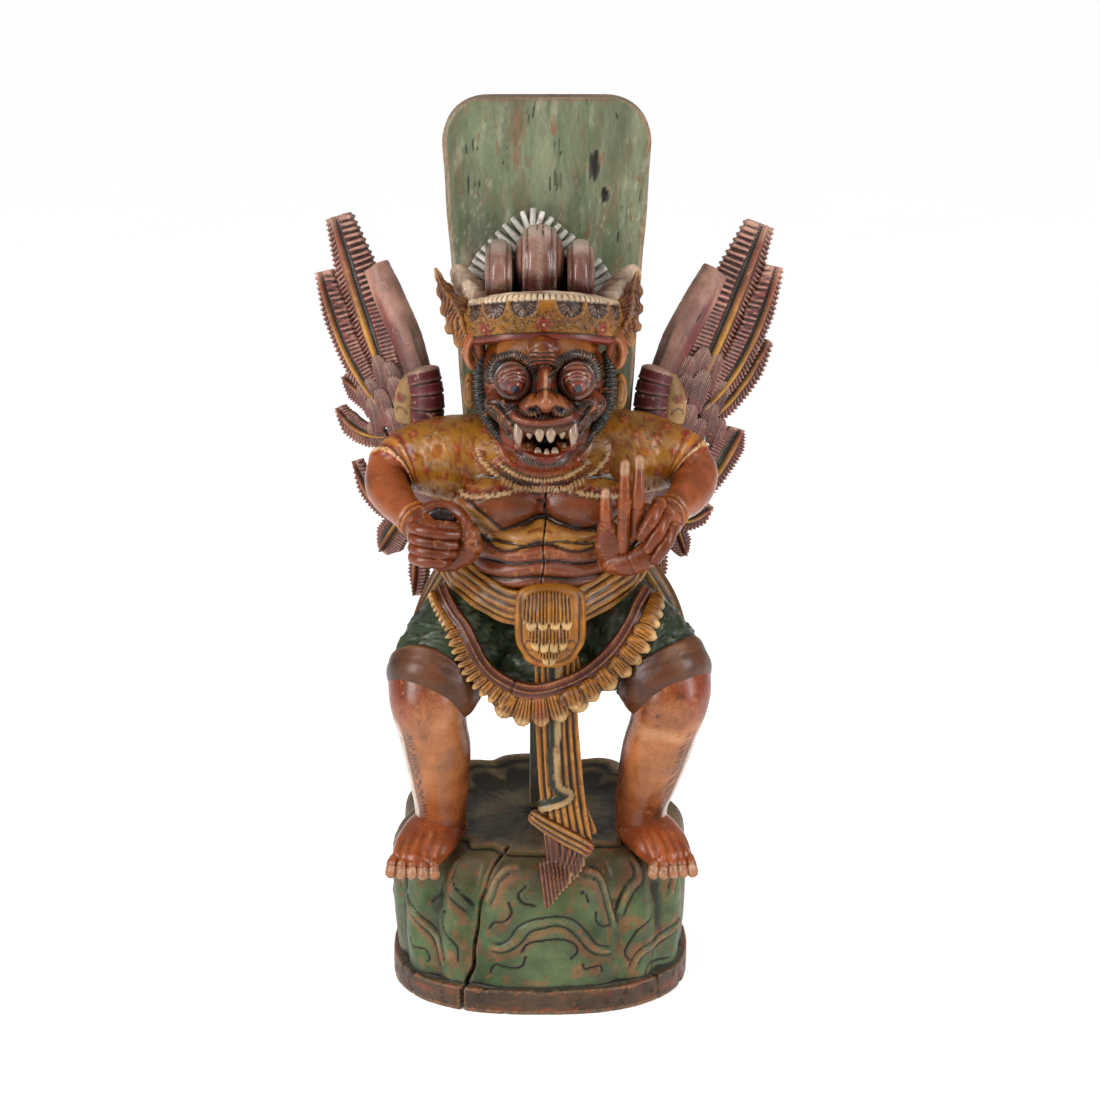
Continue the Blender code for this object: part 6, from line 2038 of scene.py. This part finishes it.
def slab_paint(u, v):
    """The plain blade beside the head: pale above, streaked dark red and green at its root."""
    front = np.sin(v) > -0.1
    tone, streak = ripple(130, u * 4, v), ripple(131, u * 2.2, np.cos(v) * 7)
    paint = coats(
        (0.46, 0.29, 0.25), ((0.68, 0.52, 0.46), smooth(-0.2, 0.8, tone)),
        ((0.19, 0.04, 0.045),
         smooth(0.9, 0.35, u + 0.3 * streak) * 0.95 * smooth(-0.8, 0.4, np.cos(v))),
        ((0.045, 0.07, 0.055), smooth(0.45, 0.25, u) * smooth(0.2, 0.7, streak) * 0.8),
        ((0.1, 0.06, 0.055), smooth(0.3, 0.05, u) * 0.5))
    chisel = ripple(135, u * 26, np.cos(v) * 3) * 0.25
    return paint, 0.6 * tone + chisel - 0.9 * bump(np.cos(v) - 0.05 * streak, 0.06) * front


def crack_slab_paint(u, v):
    """The same blade on the other wing, with its drying crack."""
    paint, relief = slab_paint(u, v)
    line = (bump(np.cos(v) - 0.1 - 0.25 * (u - 0.6), 0.035) * smooth(0.42, 0.5, u)
            * smooth(0.86, 0.78, u) * (np.sin(v) > 0))
    return mix(paint, BLACK, line), relief - 2.0 * line


def knuckle_paint(u, v):
    """The banded knuckle: lacquered plum with three grooves and pale rims."""
    tone = ripple(132, u * 4, v)
    paint = mix((0.14, 0.022, 0.03), (0.25, 0.05, 0.055), smooth(0.0, 0.9, tone))
    relief = 0.4 * tone
    for place in (0.34, 0.56, 0.76):
        relief = relief - 1.6 * bump(u - place, 0.018) + 0.8 * bump(u - place - 0.035, 0.02)
        paint = coats(
            paint, ((0.36, 0.24, 0.2), bump(u - place - 0.035, 0.016) * 0.7),
            (BLACK, bump(u - place, 0.014) * 0.8))
    return mix(paint, (0.48, 0.36, 0.29), smooth(0.97, 1.0, u) * 0.8), relief


def cream_paint(u, v):
    """The cream cheek in front of the knuckle, with a red dot and a small arch."""
    tone = ripple(133, u * 3, v)
    paint = mix((0.42, 0.29, 0.12), (0.3, 0.15, 0.05), smooth(0.0, 0.9, tone) * 0.7)
    dot = np.hypot((u - 0.46) * 30, (v - math.pi / 2) * 6)
    paint = mix(paint, (0.26, 0.05, 0.03), smooth(2.6, 1.8, dot))
    arch = bump(np.hypot((u - 0.12) * 30, (v - math.pi / 2) * 7) - 4, 0.8) * (u > 0.12)
    paint = coats(
        paint, (BLACK * 2, arch * 0.8),
        (DEEP_BROWN, bump(dot - 3.0, 0.6) * 0.7))
    return paint, 0.8 * smooth(2.6, 1.8, dot) - 0.8 * arch


def palm_paint(u, v):
    """The hidden web of the wing: dull plum with soft gouge marks."""
    tone = ripple(134, u * 5, v)
    return mix((0.1, 0.055, 0.055), (0.19, 0.1, 0.095), smooth(-0.3, 0.8, tone)), 0.5 * tone


for side, name in ((-1, "wing_left"), (1, "wing_right")):
    wing = Piece(name + "_carved")
    for k, rows in enumerate(FEATHERS[side]):
        long = k < 2 or (side, k) == (1, 2)
        feather(wing, side, rows, 140 + 10 * k + side, 4.0 if long else 3.4,
                (1.0, 0.6, 0, 0, 0, 0, 0)[k],
                0.62 if long else 0.4, 0.3 if long else 0.46)
    for k, (root, tip, wide, depth) in enumerate(SHORT_FEATHERS[side]):
        short_feather(wing, side, root, tip, wide, depth, 220 + k + side)
    slab_rows = [(6, 38, 4, 12, 11), (18, 62, 4, 14.5, 12), (32, 86, 4, 15, 12),
                 (45, 108, 4, 14, 12), (55, 125, 4, 12.5, 11)]
    wing_form(wing, side, slab_rows, slab_paint if side < 0 else crack_slab_paint, 90, 90,
              SLAB_BLUNT)
    wing_form(wing, side, [(-6, -10, 8, 15, 13), (-8, 6, 8, 16, 14), (-6, 24, 7, 15.5, 14),
                           (-2, 38, 6, 15, 14)],
              knuckle_paint, 70, 80)
    wing_form(wing, side, [(12, -6, 13, 12, 7), (12, 10, 14, 12, 8), (11, 24, 13, 9, 7),
                           (9, 37, 9, 4, 5)], cream_paint, 60, 70)
    wing_form(wing, side, [(6, 4, -2, 20, 9), (18, -28, -3, 24, 9), (10, -66, -5, 15, 8)],
              palm_paint, 40, 50)
    inward = -16 if side < 0 else -8
    wing_form(wing, side, [(inward + 14, -50, -4, 24, 8), (inward + 11, -88, -5, 30, 8),
                           (inward + 9, -120, -6, 16, 6)],
              palm_paint, 50, 50)
    wing.finish(WING_FINISH, "wing_paint", name)

# %% [markdown]
# ## Light and camera
#
# The photograph is a plain catalogue picture: white paper, one big soft light on each side
# and one above, seen slightly from above through a long lens. Two tall side lights draw the
# bright edges on the lacquer, and the paper fills the shadows from below.

# %% The paper, the lights and the camera
WORLD_STRENGTH = 0.4
PAPER_GLOW = 0.34
PAPER_SIZE = 80
bpy.context.scene.view_settings.view_transform = "Standard"
world = bpy.data.worlds.new("paper_light")
bpy.context.scene.world = world
world.use_nodes = True
world.node_tree.nodes["Background"].inputs["Color"].default_value = (1.0, 1.0, 1.0, 1)
world.node_tree.nodes["Background"].inputs["Strength"].default_value = WORLD_STRENGTH

paper_material = bpy.data.materials.new("white_paper")
paper_material.use_nodes = True
paper_tree = paper_material.node_tree
paper_shader = paper_tree.nodes["Principled BSDF"]
paper_place = node(paper_tree, "ShaderNodeTexCoord").outputs["Object"]
paper_tone = noise(paper_tree, paper_place, 3.0, 2)
paper_tree.links.new(blend(paper_tree, "MIX", paper_tone, (0.90, 0.90, 0.90), (0.93, 0.93, 0.93)),
                     paper_shader.inputs["Base Color"])
paper_shader.inputs["Roughness"].default_value = 0.8
paper_shader.inputs["Emission Color"].default_value = (1.0, 1.0, 1.0, 1)
paper_shader.inputs["Emission Strength"].default_value = PAPER_GLOW
bpy.ops.mesh.primitive_plane_add(size=PAPER_SIZE, location=(0, 0, 0))
paper = bpy.context.object
paper.name = "paper_floor"
paper.data.materials.append(paper_material)


def soft_light(name, place, aim, size, watts):
    """A rectangular lamp that faces a point."""
    data = bpy.data.lights.new(name, "AREA")
    data.shape = "RECTANGLE"
    data.size, data.size_y = size
    data.energy = watts
    lamp = bpy.data.objects.new(name, data)
    bpy.context.scene.collection.objects.link(lamp)
    lamp.location = place
    lamp.rotation_euler = (Vector(aim) - Vector(place)).to_track_quat("-Z", "Y").to_euler()


def far_light(name, azimuth, rise, strength, angle):
    """Broad daylight from one direction, soft because its disc is wide."""
    data = bpy.data.lights.new(name, "SUN")
    data.energy = strength
    data.angle = math.radians(angle)
    lamp = bpy.data.objects.new(name, data)
    bpy.context.scene.collection.objects.link(lamp)
    a, r = math.radians(azimuth), math.radians(rise)
    towards = Vector((math.sin(a) * math.cos(r), -math.cos(a) * math.cos(r), math.sin(r)))
    lamp.rotation_euler = towards.to_track_quat("Z", "Y").to_euler()


MIDDLE = (0.0, 0.0, 0.4)
soft_light("left_window", (-1.3, -0.8, 0.95), MIDDLE, (0.45, 1.1), 20)
soft_light("right_window", (1.3, -0.7, 0.95), MIDDLE, (0.45, 1.1), 16)
far_light("left_daylight", -48, 46, 0.75, 40)
far_light("right_daylight", 40, 54, 0.6, 40)

METRES_PER_PIXEL = 0.00088
FRAME_PIXELS = 1100
SENSOR_MM = 36
CAMERA_DISTANCE = 2.6
CAMERA_RISE_DEG = 15.0
AIM = Vector((0.0088, 0.0, 0.387))
camera_data = bpy.data.cameras.new("camera")
camera_data.sensor_width = SENSOR_MM
camera_data.lens = SENSOR_MM * CAMERA_DISTANCE / (FRAME_PIXELS * METRES_PER_PIXEL)
camera = bpy.data.objects.new("camera", camera_data)
bpy.context.scene.collection.objects.link(camera)
slope = math.radians(CAMERA_RISE_DEG)
backwards = Vector((0, -math.cos(slope), math.sin(slope)))
camera.location = AIM + backwards * CAMERA_DISTANCE
camera.rotation_euler = (-backwards).to_track_quat("-Z", "Y").to_euler()
bpy.context.scene.camera = camera
print("camera", CAMERA_DISTANCE, "m from", tuple(AIM))
